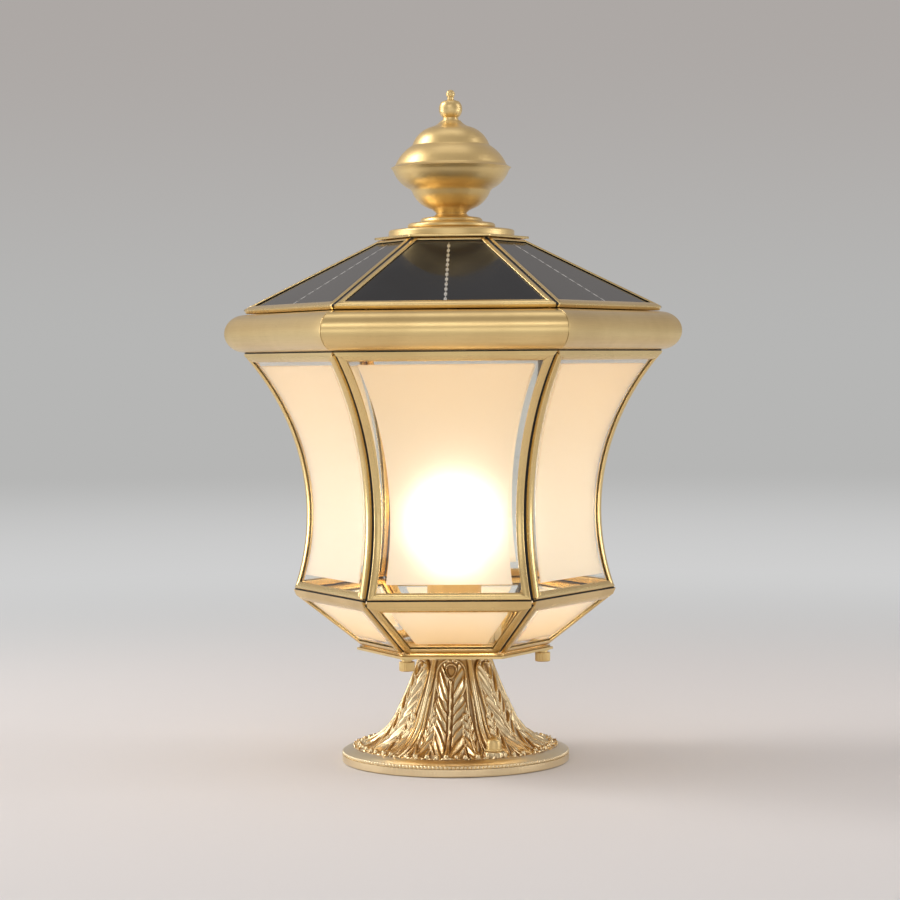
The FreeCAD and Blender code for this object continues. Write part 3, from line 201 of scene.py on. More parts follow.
def arc(start, end, radius):
    """Points of the short arc from start to end; it bulges to the right, or to the left below zero."""
    start, end = np.array(start, float), np.array(end, float)
    chord = end - start
    length = np.hypot(*chord)
    across = np.array([chord[1], -chord[0]]) / length
    size = abs(radius)
    side = math.copysign(1, radius)
    reach = math.sqrt(max(size * size - length * length / 4, 0))
    centre = (start + end) / 2 - side * reach * across
    half = math.asin(min(1, length / 2 / size))
    middle = math.atan2(across[1] * side, across[0] * side)
    steps = max(5, int(math.degrees(2 * half) / ARC_STEP) + 1)
    turns = middle + np.linspace(-half, half, steps) * side
    return centre + size * np.stack([np.cos(turns), np.sin(turns)], -1)


def outline(corners, unit=1):
    """A polyline through (x, y) corners in a unit; a corner (x, y, radius) is reached along an arc."""
    corners = [[value * unit for value in corner] for corner in corners]
    points = [np.array([corners[0][:2]], float)]
    for before, corner in zip(corners, corners[1:]):
        if len(corner) > 2 and corner[2]:
            points.append(arc(before[:2], corner[:2], corner[2])[1:])
        else:
            points.append(np.array([corner[:2]], float))
    return np.concatenate(points)


def distances(points):
    """How far along a polyline each of its points lies."""
    return np.concatenate([[0], np.cumsum(np.hypot(*np.diff(points, axis=0).T))])


def spread(points, step):
    """A polyline's points again, spaced evenly at about a step along it."""
    length = distances(points)
    count = max(2, int(round(length[-1] / step)) + 1)
    places = np.linspace(0, length[-1], count)
    return np.stack([np.interp(places, length, points[:, k]) for k in range(points.shape[1])], -1)


def softened(points, reach, step=0.12 * MM):
    """A polyline with its corners rounded: each point is the mean of those within the reach."""
    points = spread(points, step)
    span = max(1, int(round(reach / step)))
    weights = np.hanning(2 * span + 3)[1:-1]
    weights /= weights.sum()
    head = 2 * points[:1] - points[1:span + 1][::-1]
    tail = 2 * points[-1:] - points[-span - 1:-1][::-1]
    padded = np.concatenate([head, points, tail])
    smooth = np.stack([np.convolve(padded[:, k], weights, "valid") for k in range(points.shape[1])], -1)
    return thinned(smooth)


def thinned(points, sag=0.012 * MM, most=24):
    """Drops points of a fine polyline, at most so many in a row, that lie within a sag of what is left."""
    keep = [0]
    last = len(points) - 1
    while keep[-1] < last:
        first = keep[-1]
        reach = first + 1
        while reach < last and reach - first < most:
            ahead = points[reach + 1] - points[first]
            between = points[first + 1:reach + 1] - points[first]
            away = np.abs(ahead[0] * between[:, 1] - ahead[1] * between[:, 0])
            if away.max() > sag * max(np.hypot(*ahead), 1e-9):
                break
            reach += 1
        keep.append(reach)
    return points[keep]


def lathe(build, profile, segments=128, centre=(0, 0), wave=None):
    """A profile (radius, height) turned about an upright axis.

    wave(angles, radii, heights) adds to the radius.
    """
    angles = np.arange(segments) * 2 * math.pi / segments
    radius = profile[:, :1] * np.ones(segments)
    height = np.broadcast_to(profile[:, 1:], radius.shape)
    if wave is not None:
        radius = radius + wave(angles[None, :], radius, height)
    x = centre[0] + radius * np.cos(angles)
    y = centre[1] + radius * np.sin(angles)
    along = np.broadcast_to(distances(profile)[:, None], radius.shape)
    build.grid(np.stack([x, y, height], -1), wrap=True, uv=np.stack([radius * angles, along], -1))


def closed(profile):
    """A profile with its first point again at its end."""
    return np.concatenate([profile, profile[:1]])


# places on the sides

class Bend:
    """Places on a bent side: x across, y along the bend from its foot, z outwards from the inner face."""

    def __init__(self):
        run, rise = EAVE_APOTHEM - WAIST_APOTHEM, EAVE_HEIGHT - WAIST_HEIGHT
        chord = math.hypot(run, rise)
        reach = math.sqrt(BEND_RADIUS ** 2 - chord ** 2 / 4)
        self.centre = ((EAVE_APOTHEM + WAIST_APOTHEM) / 2 + reach * rise / chord,
                       (EAVE_HEIGHT + WAIST_HEIGHT) / 2 - reach * run / chord)
        self.start = math.asin((WAIST_HEIGHT - self.centre[1]) / BEND_RADIUS)
        end = math.asin((EAVE_HEIGHT - self.centre[1]) / BEND_RADIUS)
        self.length = BEND_RADIUS * (end - self.start)

    def half(self, y):
        angle = self.start + y / BEND_RADIUS
        return HALF_SIDE * (self.centre[0] - BEND_RADIUS * np.cos(angle))

    def widening(self, y):
        """How much wider an inset is across the side than square to its edge."""
        return 1.0 + 0 * y

    def point(self, x, y, z):
        x, y, z = np.broadcast_arrays(x, y, z)
        angle = self.start + y / BEND_RADIUS
        radius = BEND_RADIUS - z
        return np.stack([x, radius * np.cos(angle) - self.centre[0],
                         self.centre[1] + radius * np.sin(angle)], -1)


class Flat:
    """Places on a flat sloping side between a low and a high point, each (apothem, height)."""

    def __init__(self, low, high, depth, high_side):
        run, rise = high[0] - low[0], high[1] - low[1]
        straight = math.hypot(run, rise)
        direction = math.atan2(rise, run) + high_side * math.asin(depth / straight)
        self.along = (math.cos(direction), math.sin(direction))
        self.outward = (math.sin(direction), -math.cos(direction))
        self.length = math.sqrt(straight ** 2 - depth ** 2)
        self.low = low
        if high_side < 0:
            self.low = (low[0] - depth * self.outward[0], low[1] - depth * self.outward[1])

    def half(self, y):
        return HALF_SIDE * (self.low[0] + y * self.along[0])

    def widening(self, y):
        return math.hypot(1, HALF_SIDE * self.along[0]) + 0 * y

    def point(self, x, y, z):
        x, y, z = np.broadcast_arrays(x, y, z)
        return np.stack([x, -(self.low[0] + y * self.along[0] + z * self.outward[0]),
                         self.low[1] + y * self.along[1] + z * self.outward[1]], -1)


bend = Bend()
roof = Flat((MOULDING_APOTHEM, MOULDING_HIGH + JOINT_GAP),
            (CAP_APOTHEM - CAP_OVERHANG, CAP_LOW - JOINT_GAP), SOLAR_DEPTH, 1)
skirt = Flat((RING_APOTHEM - RING_MARGIN, RING_TOP + JOINT_GAP),
             (WAIST_APOTHEM, WAIST_HEIGHT - WAIST_GAP), PANE_DEPTH, -1)


# channels and panes of the sides

def channel_section(lip, depth):
    """Folded channel as two matching polylines of (inset, depth): its outside and its groove's wall."""
    wall = CHANNEL_WALL
    corner = 1.0 * MM
    crown = 0.35 * MM
    tip = wall / 2
    low = SEAM
    rise = np.linspace(-1, 1, 9)[1:-1]
    flat = (lip - tip) + (low + corner - lip + tip) * (rise + 1) / 2
    crowned = np.stack([flat, depth + crown * (1 - rise ** 2)], -1)
    inner = np.stack([flat, depth - wall + crown * (1 - rise ** 2)], -1)
    far, near = (lip - tip, depth - tip), (lip - tip, tip)
    high_bend, low_bend = (low + corner, depth - corner), (low + corner, corner)
    outside = np.concatenate([sweep(far, tip, 0, 90, 4), crowned, sweep(high_bend, corner, 90, 180, 6),
                              sweep(low_bend, corner, 180, 270, 6), sweep(near, tip, 270, 360, 4)])
    groove = np.concatenate([sweep(far, tip, 0, -90, 4), inner, sweep(high_bend, corner - wall, 90, 180, 6),
                             sweep(low_bend, corner - wall, 180, 270, 6), sweep(near, tip, 90, 0, 4)])
    return outside, groove


MITRE_START = 0.25


def mitre(inset, lip, other):
    """How far a side bar's end stands in from the foot or head: a quarter ellipse to the lips."""
    start = MITRE_START * other
    across = np.clip(inset / lip, 0, 1)
    return start + (other - start) * (1 - np.sqrt(1 - across ** 2))


def mitre_back(inset, lip, other):
    """The same curve the other way round: how far a foot or head bar's end stands in from the side."""
    start = MITRE_START * other
    up = np.clip((inset - start) / (other - start), 0, 1)
    return lip * np.sqrt(1 - (1 - up) ** 2)


def run_along(share, points):
    """Distances along a bar, from shares of its length."""
    return share * np.linalg.norm(points[-1, 0] - points[0, 0])


def hollow_bar(build, outside, inside, rows, pinches, place, kept=np.s_[:], along=run_along):
    """A hollow section carried along rows: place(row, across, level) gives its points.

    The wall is pinched from both faces by a share at each row. kept picks the inside's points.
    """
    pinches = pinches[:, None, None]
    skin = outside + (inside - outside) * pinches
    back = inside + (outside - inside) * pinches
    loop = np.concatenate([skin, back[:, ::-1][:, kept]], axis=1)
    row = np.broadcast_to(rows[:, None], loop.shape[:2])
    points = place(row, loop[..., 0], loop[..., 1])
    around = np.broadcast_to(distances(loop[len(rows) // 2]), row.shape)
    build.grid(points, wrap=True, uv=np.stack([along(row, points), around], -1))
    for end in (0, -1):
        cap = np.stack([skin[end], back[end]])
        build.grid(place(np.full(cap.shape[:2], rows[end]), cap[..., 0], cap[..., 1]), uv=cap)


def bar(build, outside, groove, place):
    """A channel bar with chamfered ends: place(share, inset, depth) gives points, share 0 to 1 along it."""
    rows = np.concatenate([[0, 0.004], np.linspace(0.02, 0.98, 25), [0.996, 1]])
    pinches = np.zeros(len(rows))
    pinches[[0, -1]] = BAR_PINCH
    hollow_bar(build, outside, groove, rows, pinches, place, kept=np.s_[1:-1])


def channel_frame(build, face, depth, side_lip, foot_lip, head_lip):
    """Four channel bars round a side, met at curved mitres with a hair gap between them."""
    side_section = channel_section(side_lip, depth)
    foot_section = channel_section(foot_lip, depth)
    head_section = channel_section(head_lip, depth)

    def upright(side):
        def place(share, inset, level):
            low = mitre(inset, side_lip, foot_lip) + BAR_GAP
            high = face.length - mitre(inset, side_lip, head_lip) - BAR_GAP
            y = low + (high - low) * share
            x = side * (face.half(y) - face.widening(y) * inset)
            return face.point(x, y, level)
        return place

    def level_bar(from_head, lip):
        def place(share, inset, level):
            y = face.length - inset if from_head else inset + 0 * share
            back = mitre_back(inset, side_lip, lip) + BAR_GAP
            x = (2 * share - 1) * (face.half(y) - face.widening(y) * np.maximum(back, SEAM))
            return face.point(x, y, level)
        return place

    bar(build, *side_section, upright(-1))
    bar(build, *side_section, upright(1))
    bar(build, *foot_section, level_bar(False, foot_lip))
    bar(build, *head_section, level_bar(True, head_lip))


def in_field(count):
    """Which cells of a row of points lie inside the bevelled borders."""
    cells = np.arange(count - 1)
    return (cells >= BEVEL_STEPS - 1) & (cells < count - BEVEL_STEPS)


def sheet(build, face, depths, edge, borders, bevel, numbers=(0, 1), field=(28, 14)):
    """A pane: its field between bevelled borders (side, foot, head), on both faces, and its four edges."""
    side, foot, head = borders
    low, high = depths
    steps = np.linspace(0, 1, BEVEL_STEPS)
    column_inset = np.concatenate([edge + (side - edge) * steps, np.full(field[1] - 1, side),
                                   side + (edge - side) * steps])
    column_share = np.concatenate([np.zeros(BEVEL_STEPS), np.linspace(0, 1, field[1] + 1)[1:-1],
                                   np.ones(BEVEL_STEPS)])
    rows = np.concatenate([edge + (foot - edge) * steps,
                           np.linspace(foot, face.length - head, field[0] + 1)[1:-1],
                           face.length - head + (head - edge) * steps])
    y = rows[:, None] + 0 * column_inset[None, :]
    inset = column_inset[None, :] + 0 * y
    x = (2 * column_share[None, :] - 1) * (face.half(y) - face.widening(y) * inset)
    near_side = (inset - edge) / (side - edge)
    near_foot = (y - edge) / (foot - edge)
    near_head = (face.length - edge - y) / (head - edge)
    near = np.clip(np.minimum(np.minimum(near_side, near_foot), near_head), 0, 1)
    outer = face.point(x, y, high - bevel * (1 - near))
    inner = face.point(x, y, low + 0 * x)
    number = np.where(in_field(len(rows))[:, None] & in_field(len(column_inset))[None, :], *numbers)
    uv = np.stack([x, y], -1)
    build.grid(outer, number=number, uv=uv)
    build.grid(inner[::-1], number=number[::-1], uv=uv[::-1])
    for pick in (np.s_[0], np.s_[-1], np.s_[:, 0], np.s_[:, -1]):
        rim = np.stack([outer[pick], inner[pick]])
        build.grid(rim, number=numbers[1], uv=np.stack([uv[pick], uv[pick]]))


def on_sides(make, name, turns=tuple(range(SIDES)), **options):
    """One mesh of a part that is made for the front side and turned to some of the six, or to all."""
    build = Build()
    make(build)
    front = np.concatenate(build.points)
    faces = np.concatenate(build.faces)
    build.points = [turned_about(front, SIDE_TURN * k) for k in turns]
    build.faces = [faces + build.count * place for place in range(len(turns))]
    build.uvs = [part + MAP_SHIFT * k for k in turns for part in build.uvs]
    build.numbers = build.numbers * len(turns)
    return build.finish(name, **options)


# camera, lights, floor and world

# the photograph's camera: its place, its turns in degrees (yaw, pitch, roll) and its lens in millimetres
CAMERA_PLACE = (0.0595, -1.6119, 0.2604)
CAMERA_TURNS = (2.19, -2.031, -0.461)
LENS = 98.68
SENSOR = 36


def make_camera():
    """The photograph's viewpoint: a little to the right, at the eave's height, looking slightly down."""
    place = Vector(CAMERA_PLACE)
    yaw, pitch, roll = np.radians(CAMERA_TURNS).tolist()
    forward = Vector((-math.sin(yaw) * math.cos(pitch), math.cos(yaw) * math.cos(pitch), math.sin(pitch)))
    right = forward.cross(Vector((0, 0, 1))).normalized()
    up = right.cross(forward)
    right, up = right * math.cos(roll) + up * math.sin(roll), up * math.cos(roll) - right * math.sin(roll)
    data = bpy.data.cameras.new("camera")
    data.lens = LENS
    data.sensor_width = SENSOR
    data.clip_start = 0.05
    data.clip_end = 60
    camera = bpy.data.objects.new("camera", data)
    camera.matrix_world = Matrix.Translation(place) @ Matrix((right, up, -forward)).transposed().to_4x4()
    bpy.context.scene.collection.objects.link(camera)
    bpy.context.scene.camera = camera


NEUTRAL = (1, 1, 1)
WARMISH = (1, 0.99, 0.97)
LIGHTS_AIM = Vector((0, 0, 0.25))
# soft boxes: name, place, width, height, power, colour
LIGHTS = (
    ("key_left", (-1.6, 0.1, 0.95), 1.0, 1.8, 11, WARMISH),
    ("high_left", (-1.45, 0.3, 1.6), 0.55, 0.6, 8, WARMISH),
    ("low_left", (-1.6, 0.0, 0.16), 0.5, 0.3, 3, NEUTRAL),
    ("fill_right", (1.6, 0.05, 0.85), 0.25, 1.5, 4.5, NEUTRAL),
    ("front_high", (-0.2, -1.6, 1.2), 1.2, 0.4, 2.8, NEUTRAL),
    ("overhead", (0, 0.05, 2.2), 1.4, 0.8, 2.8, NEUTRAL),
    ("low_right", (1.6, -0.3, 0.16), 0.4, 0.3, 1.8, NEUTRAL),
    ("low_front", (0.1, -2.3, 0.22), 2.0, 0.7, 4, NEUTRAL),
)


def make_lights():
    for name, place, width, height, power, colour in LIGHTS:
        data = bpy.data.lights.new(name, "AREA")
        data.shape = "RECTANGLE"
        data.size = width
        data.size_y = height
        data.energy = power
        data.color = colour
        light = bpy.data.objects.new(name, data)
        light.location = place
        light.rotation_mode = "QUATERNION"
        light.rotation_quaternion = (Vector(place) - LIGHTS_AIM).to_track_quat("Z", "Y")
        bpy.context.scene.collection.objects.link(light)


# shader nodes

class Signal:
    """An output of a shader node; sums and products of it add math nodes to its tree."""

    def __init__(self, socket):
        self.socket = socket
        self.tree = socket.id_data

    def math(self, operation, *others):
        inputs = dict(enumerate((self,) + others))
        return signal(self.tree, "ShaderNodeMath", 0, inputs, operation=operation)

    def __add__(self, other):
        return self.math("ADD", other)

    def __sub__(self, other):
        return self.math("SUBTRACT", other)

    def __mul__(self, other):
        return self.math("MULTIPLY", other)

    def clamped(self):
        """The same sum, kept between 0 and 1."""
        self.socket.node.use_clamp = True
        return self


def feed(node, inputs):
    """Gives each input a value, or a link where the value is another node's output."""
    for name, value in inputs.items():
        if isinstance(value, Signal):
            value = value.socket
        if isinstance(value, bpy.types.NodeSocket):
            node.id_data.links.new(value, node.inputs[name])
        else:
            node.inputs[name].default_value = value


def add(tree, kind, inputs=None, **settings):
    """A node with its settings and inputs."""
    node = tree.nodes.new(kind)
    for key, value in settings.items():
        setattr(node, key, value)
    feed(node, inputs or {})
    return node


def signal(tree, kind, output=0, inputs=None, **settings):
    """One output of a new node."""
    return Signal(add(tree, kind, inputs, **settings).outputs[output])


def part_of(vector, letter):
    return signal(vector.tree, "ShaderNodeSeparateXYZ", letter, {0: vector})


def mixed(factor, first, second):
    """A colour between two colours."""
    return signal(factor.tree, "ShaderNodeMix", 2, {0: factor, 6: first, 7: second}, data_type="RGBA")


def ranged(value, low, high, to_low=0.0, to_high=1.0, smooth=False):
    """A value's place between low and high, led to another range."""
    inputs = {0: value, 1: low, 2: high, 3: to_low, 4: to_high}
    kind = "SMOOTHSTEP" if smooth else "LINEAR"
    return signal(value.tree, "ShaderNodeMapRange", 0, inputs, interpolation_type=kind)


def noise(vector, scale, detail=2.0):
    inputs = {"Vector": vector, "Scale": scale, "Detail": detail}
    return signal(vector.tree, "ShaderNodeTexNoise", "Fac", inputs)


def emptied(holder):
    """The node tree of a world or material, without its first nodes."""
    holder.use_nodes = True
    holder.node_tree.nodes.clear()
    return holder.node_tree


def linear(red, green, blue):
    """Linear colour of an sRGB colour given from 0 to 255."""
    parts = [value / 255 for value in (red, green, blue)]
    return tuple(p / 12.92 if p <= 0.04045 else ((p + 0.055) / 1.055) ** 2.4 for p in parts) + (1.0,)


HORIZON = linear(182, 182, 181)
SKY = linear(173, 168, 165)
FLOOR_NEAR = linear(222, 216, 214)
FLOOR_MIDDLE = linear(209, 209, 209)


def make_world():
    """The photograph's grey where it is seen, also in metal and through glass; a softer light elsewhere."""
    world = bpy.data.worlds.new("studio")
    bpy.context.scene.world = world
    tree = emptied(world)
    height = part_of(signal(tree, "ShaderNodeTexCoord", "Generated"), "Z")
    shown = mixed(ranged(height, 0.0, 0.14, smooth=True), HORIZON, SKY)
    path = add(tree, "ShaderNodeLightPath").outputs
    seen = Signal(path["Is Camera Ray"]).math("MAXIMUM", path["Is Glossy Ray"])
    seen = seen.math("MAXIMUM", path["Is Transmission Ray"])
    sky = signal(tree, "ShaderNodeBackground", 0, {"Color": shown, "Strength": 1.0})
    light = signal(tree, "ShaderNodeBackground", 0, {"Color": (1.0, 0.99, 0.98, 1.0), "Strength": 0.54})
    both = signal(tree, "ShaderNodeMixShader", 0, {0: seen, 1: light, 2: sky})
    add(tree, "ShaderNodeOutputWorld", {"Surface": both})


def make_floor():
    """A disc whose colour and light fade into the horizon, so that no edge shows."""
    rings = np.array([0.0001, 0.2, 0.5, 1.0, 2.0, 4.0, 9.0])
    build = Build()
    lathe(build, np.stack([rings, np.full(len(rings), -0.0002)], -1), segments=64)
    floor = build.finish("floor", merge=1e-6)
    material = bpy.data.materials.new("floor_fade")
    tree = emptied(material)
    place = signal(tree, "ShaderNodeTexCoord", "Object")
    distance = signal(tree, "ShaderNodeVectorMath", "Value", {0: place}, operation="LENGTH")
    paint = mixed(ranged(distance, 0.25, 1.3, smooth=True), FLOOR_NEAR, FLOOR_MIDDLE)
    glow = mixed(ranged(distance, 0.9, 4.4, smooth=True), FLOOR_MIDDLE, HORIZON)
    lit = signal(tree, "ShaderNodeBsdfDiffuse", 0, {"Color": paint})
    shown = signal(tree, "ShaderNodeEmission", 0, {"Color": glow, "Strength": 1.0})
    away = ranged(distance, 0.45, 1.5, smooth=True)
    surface = signal(tree, "ShaderNodeMixShader", 0, {0: away, 1: lit, 2: shown})
    add(tree, "ShaderNodeOutputMaterial", {"Surface": surface})
    floor.data.materials.append(material)


# finishes

SOCKET_KINDS = {"value": "NodeSocketFloat", "colour": "NodeSocketColor", "vector": "NodeSocketVector"}
FINISH_OUTPUTS = {"Color": "colour", "Roughness": "value", "Height": "value"}


def make_group(name, **inputs):
    """A shader group for a finish: returns its tree, its inputs as signals and its output node."""
    tree = bpy.data.node_groups.new(name, "ShaderNodeTree")
    for way, sockets in (("INPUT", inputs), ("OUTPUT", FINISH_OUTPUTS)):
        for label, kind in sockets.items():
            tree.interface.new_socket(label, in_out=way, socket_type=SOCKET_KINDS[kind])
    given = tree.nodes.new("NodeGroupInput").outputs
    return tree, {label: Signal(given[label]) for label in inputs}, tree.nodes.new("NodeGroupOutput")


# the brushing's scale along its lines, across them, and through the map
GRAIN_STRETCH = (12, 900, 1)


def metal_grain_group():
    """Fine lines along the brushing direction, broad tarnish and small specks, and painted shade that
    darkens the hollows.
    """
    tree, given, result = make_group(
        "metal grain", Along="vector", Place="vector", Bright="colour", Dull="colour", Roughness="value",
        Grain="value", Tarnish="value", Hollow="value")
    place, grain, tarnish = given["Place"], given["Grain"], given["Tarnish"]
    stretched = signal(tree, "ShaderNodeVectorMath", 0, {0: given["Along"], 1: GRAIN_STRETCH},
                       operation="MULTIPLY")
    lines = noise(stretched, 5.0, 3.0) * 0.65 + noise(stretched, 1.1, 1.0) * 0.35 - 0.5
    patches = ranged(noise(place, 24.0, 4.0), 0.38, 0.72, smooth=True)
    specks = ranged(noise(place, 640.0, 1.0), 0.66, 0.8)
    # real tarnish, grain and specks, plus the hollows' painted shade, mixed towards the dull colour
    tarnish_and_shade = (patches * tarnish + lines * grain + specks * (tarnish * 0.5) + given["Hollow"]).clamped()
    rough = (given["Roughness"] + tarnish_and_shade * 0.16 + lines * (grain * 0.25)).clamped()
    feed(result, {"Color": mixed(tarnish_and_shade, given["Bright"], given["Dull"]), "Roughness": rough,
                  "Height": lines * grain + specks * -0.1})
    return tree


def moulded_group():
    """Slow and fine variation of a moulded or painted surface, with pale dust on what faces up."""
    tree, given, result = make_group(
        "moulded surface", Place="vector", Facing="vector", Clean="colour", Worn="colour",
        Roughness="value", Grain="value")
    slow = ranged(noise(given["Place"], 30.0, 3.0), 0.35, 0.7, smooth=True)
    fine = noise(given["Place"], 900.0)
    dust = ranged(part_of(given["Facing"], "Z"), 0.6, 1.0) * 0.18
    amount = (slow * 0.4 + dust).clamped()
    rough = (given["Roughness"] + slow * 0.1 + fine * (given["Grain"] * 0.1)).clamped()
    feed(result, {"Color": mixed(amount, given["Clean"], given["Worn"]), "Roughness": rough,
                  "Height": fine * given["Grain"]})
    return tree


METAL_GRAIN = metal_grain_group()
MOULDED = moulded_group()


def new_material(name, **shader):
    """A material with one Principled shader, whose constants are set on its own sockets."""
    material = bpy.data.materials.new(name)
    tree = emptied(material)
    constants = {key.replace("_", " "): value for key, value in shader.items()}
    principled = add(tree, "ShaderNodeBsdfPrincipled", constants)
    add(tree, "ShaderNodeOutputMaterial", {"Surface": principled.outputs[0]})
    return material, principled


def place_for(principled):
    """The object's own coordinates."""
    return signal(principled.id_data, "ShaderNodeTexCoord", "Object")


def map_for(principled):
    """The map of distances along and across a piece."""
    return signal(principled.id_data, "ShaderNodeUVMap", uv_map="Along")


def bump(principled, height, distance, strength=1.0):
    inputs = {"Height": height, "Distance": distance, "Strength": strength}
    feed(principled, {"Normal": signal(principled.id_data, "ShaderNodeBump", 0, inputs)})


def grouped(group, principled, distance, **inputs):
    """Places a finish group and leads its colour, roughness and height to the shader."""
    given = add(principled.id_data, "ShaderNodeGroup", inputs, node_tree=group).outputs
    feed(principled, {"Base Color": given["Color"], "Roughness": given["Roughness"]})
    bump(principled, given["Height"], distance)


BRASS_BRIGHT = (0.83, 0.61, 0.27, 1)
BRASS_DULL = (0.44, 0.27, 0.09, 1)


def brass(name, roughness, grain, tarnish, bright=BRASS_BRIGHT, tarnish_and_shade=BRASS_DULL, relief=False):
    """Brass, brushed along the map where it has a grain; with relief, its hollows are darkened by painted
    shade read from the Relief attribute.
    """
    material, principled = new_material(name, Metallic=1.0, Coat_Weight=0.5, Coat_Roughness=0.25)
    place = place_for(principled)
    hollow_shade = 0.0
    if relief:
        depth = signal(principled.id_data, "ShaderNodeAttribute", "Fac", attribute_name="Relief")
        # painted shade: darker where the attribute is low, in the grooves
        hollow_shade = ranged(depth, 0.05, 0.6, 0.95, 0.0)
    grouped(METAL_GRAIN, principled, 0.04 * MM, Along=map_for(principled) if grain else place, Place=place,
            Bright=bright, Dull=tarnish_and_shade, Roughness=roughness, Grain=grain, Tarnish=tarnish, Hollow=hollow_shade)
    return material


def moulded(name, clean, worn, roughness, grain, metallic=0.0):
    material, principled = new_material(name, Metallic=metallic)
    facing = signal(principled.id_data, "ShaderNodeTexCoord", "Normal")
    grouped(MOULDED, principled, 0.05 * MM, Place=place_for(principled), Facing=facing, Clean=clean,
            Worn=worn, Roughness=roughness, Grain=grain)
    return material


def frosted(name, tint, glow_low, glow_high, strength, bottom, top):
    """Sand-blasted glass with a painted glow that stands in for the lamp's light it scatters; the glow
    changes from a bottom to a top height.
    """
    material, principled = new_material(
        name, Base_Color=tint, Roughness=0.42, IOR=1.45, Transmission_Weight=0.6,
        Emission_Strength=strength)
    place = place_for(principled)
    cloud = (noise(place, 18.0) - 0.5) * 0.12
    rise = (ranged(part_of(place, "Z"), bottom, top, smooth=True) + cloud).clamped()
    # painted glow: emission that stands in for the lamp's light scattered in the glass
    feed(principled, {"Emission Color": mixed(rise, glow_low, glow_high)})
    bump(principled, noise(place, 2600.0, 1.0), 0.01 * MM, 0.4)
    return material


def clear_glass():
    """Polished glass of the bevelled borders, with a trace of dust."""
    material, principled = new_material(
        "clear_glass", Base_Color=(0.97, 0.98, 0.96, 1), IOR=1.5, Transmission_Weight=1.0)
    feed(principled, {"Roughness": ranged(noise(place_for(principled), 60.0, 3.0), 0.3, 0.8, 0.01, 0.06)})
    return material


def solar_film():
    """Black cells under gloss, with hair-fine fingers across and slight cloudiness."""
    material, principled = new_material("solar_cell", Base_Color=(0.01, 0.0105, 0.013, 1), IOR=1.5)
    finger_pitch = 1.6 * MM
    turn = (part_of(map_for(principled), "Y") * (1 / finger_pitch)).math("FRACT")
    finger = ranged((turn - 0.5).math("ABSOLUTE"), 0.0, 0.07, 1.0, 0.0)
    cloud = ranged(noise(place_for(principled), 22.0, 3.0), 0.3, 0.75)
    amount = (finger * 0.28 + cloud * 0.3).clamped()
    colour = mixed(amount, (0.006, 0.0065, 0.008, 1), (0.03, 0.032, 0.038, 1))
    feed(principled, {"Base Color": colour, "Roughness": cloud * 0.08 + 0.04})
    bump(principled, finger, 0.01 * MM, 0.5)
    return material


def lamp_glow():
    """Opal globe of the lit bulb, a little dimmer towards its neck."""
    material, principled = new_material(
        "bulb_glow", Base_Color=(0.95, 0.92, 0.85, 1), Roughness=0.35, Emission_Strength=9.0)
    rise = ranged(part_of(place_for(principled), "Z"), 0.115, 0.145, smooth=True)
    feed(principled, {"Emission Color": mixed(rise, (1.0, 0.68, 0.38, 1), (1.0, 0.88, 0.74, 1))})
    return material


def silver():
    material, principled = new_material("silver_line", Metallic=1.0)
    spots = noise(place_for(principled), 500.0)
    feed(principled, {"Base Color": mixed(spots, (0.95, 0.95, 0.93, 1), (0.7, 0.7, 0.7, 1)),
                      "Roughness": ranged(spots, 0.3, 0.8, 0.25, 0.45)})
    return material


# name: roughness, grain, tarnish, then its own bright and dull colours, and True where its hollows get
# painted shade
BRASSES = {
    "satin_brass": (0.26, 0.3, 0.22),
    "brushed_brass": (0.3, 0.5, 0.25),
    "turned_brass": (0.4, 0.35, 0.25),
    "plain_brass": (0.3, 0.0, 0.3),
    "cast_brass": (0.24, 0.0, 0.15, (0.88, 0.69, 0.4, 1), (0.34, 0.19, 0.07, 1), True),
    "rim_brass": (0.28, 0.0, 0.2, (0.92, 0.76, 0.48, 1), (0.5, 0.33, 0.16, 1)),
}
GLOW_WARM = linear(255, 202, 120)
GLOW_WHITE = linear(255, 226, 180)
# name: tint, painted glow at the bottom and at the top, its strength, bottom height, top height
FROSTED = {
    "frosted_glass": ((0.7, 0.69, 0.66, 1), GLOW_WHITE, GLOW_WARM, 0.26, 0.12, 0.27),
    "lower_frosted": ((0.7, 0.67, 0.62, 1), GLOW_WARM, GLOW_WHITE, 0.32, 0.08, 0.11),
}
# name: clean colour, worn colour, roughness, grain, and 1 if it is metal
MOULDINGS = {
    "bulb_metal": ((0.75, 0.75, 0.76, 1), (0.5, 0.5, 0.5, 1), 0.3, 0.3, 1.0),
    "zinc_steel": ((0.62, 0.62, 0.6, 1), (0.42, 0.42, 0.4, 1), 0.35, 0.5, 1.0),
    "white_steel": ((0.86, 0.85, 0.82, 1), (0.74, 0.72, 0.68, 1), 0.5, 0.4),
    "black_plastic": ((0.03, 0.03, 0.03, 1), (0.09, 0.09, 0.085, 1), 0.45, 0.8),
    # black of the seals, which also stands in for the shade in the seams (painted shade)
    "black_seal": ((0.008, 0.008, 0.008, 1), (0.016, 0.015, 0.014, 1), 0.7, 0.5),
    "white_plastic": ((0.78, 0.78, 0.74, 1), (0.62, 0.6, 0.54, 1), 0.4, 0.5),
    "cell_wrap": ((0.06, 0.22, 0.5, 1), (0.14, 0.3, 0.52, 1), 0.25, 0.2),
    "lead_sleeve": ((0.05, 0.05, 0.05, 1), (0.12, 0.12, 0.11, 1), 0.5, 0.6),
    "button_rubber": ((0.04, 0.04, 0.04, 1), (0.1, 0.1, 0.1, 1), 0.6, 0.7),
}
MATERIALS = {"clear_glass": clear_glass(), "solar_cell": solar_film(), "silver_line": silver(),
             "bulb_glow": lamp_glow()}
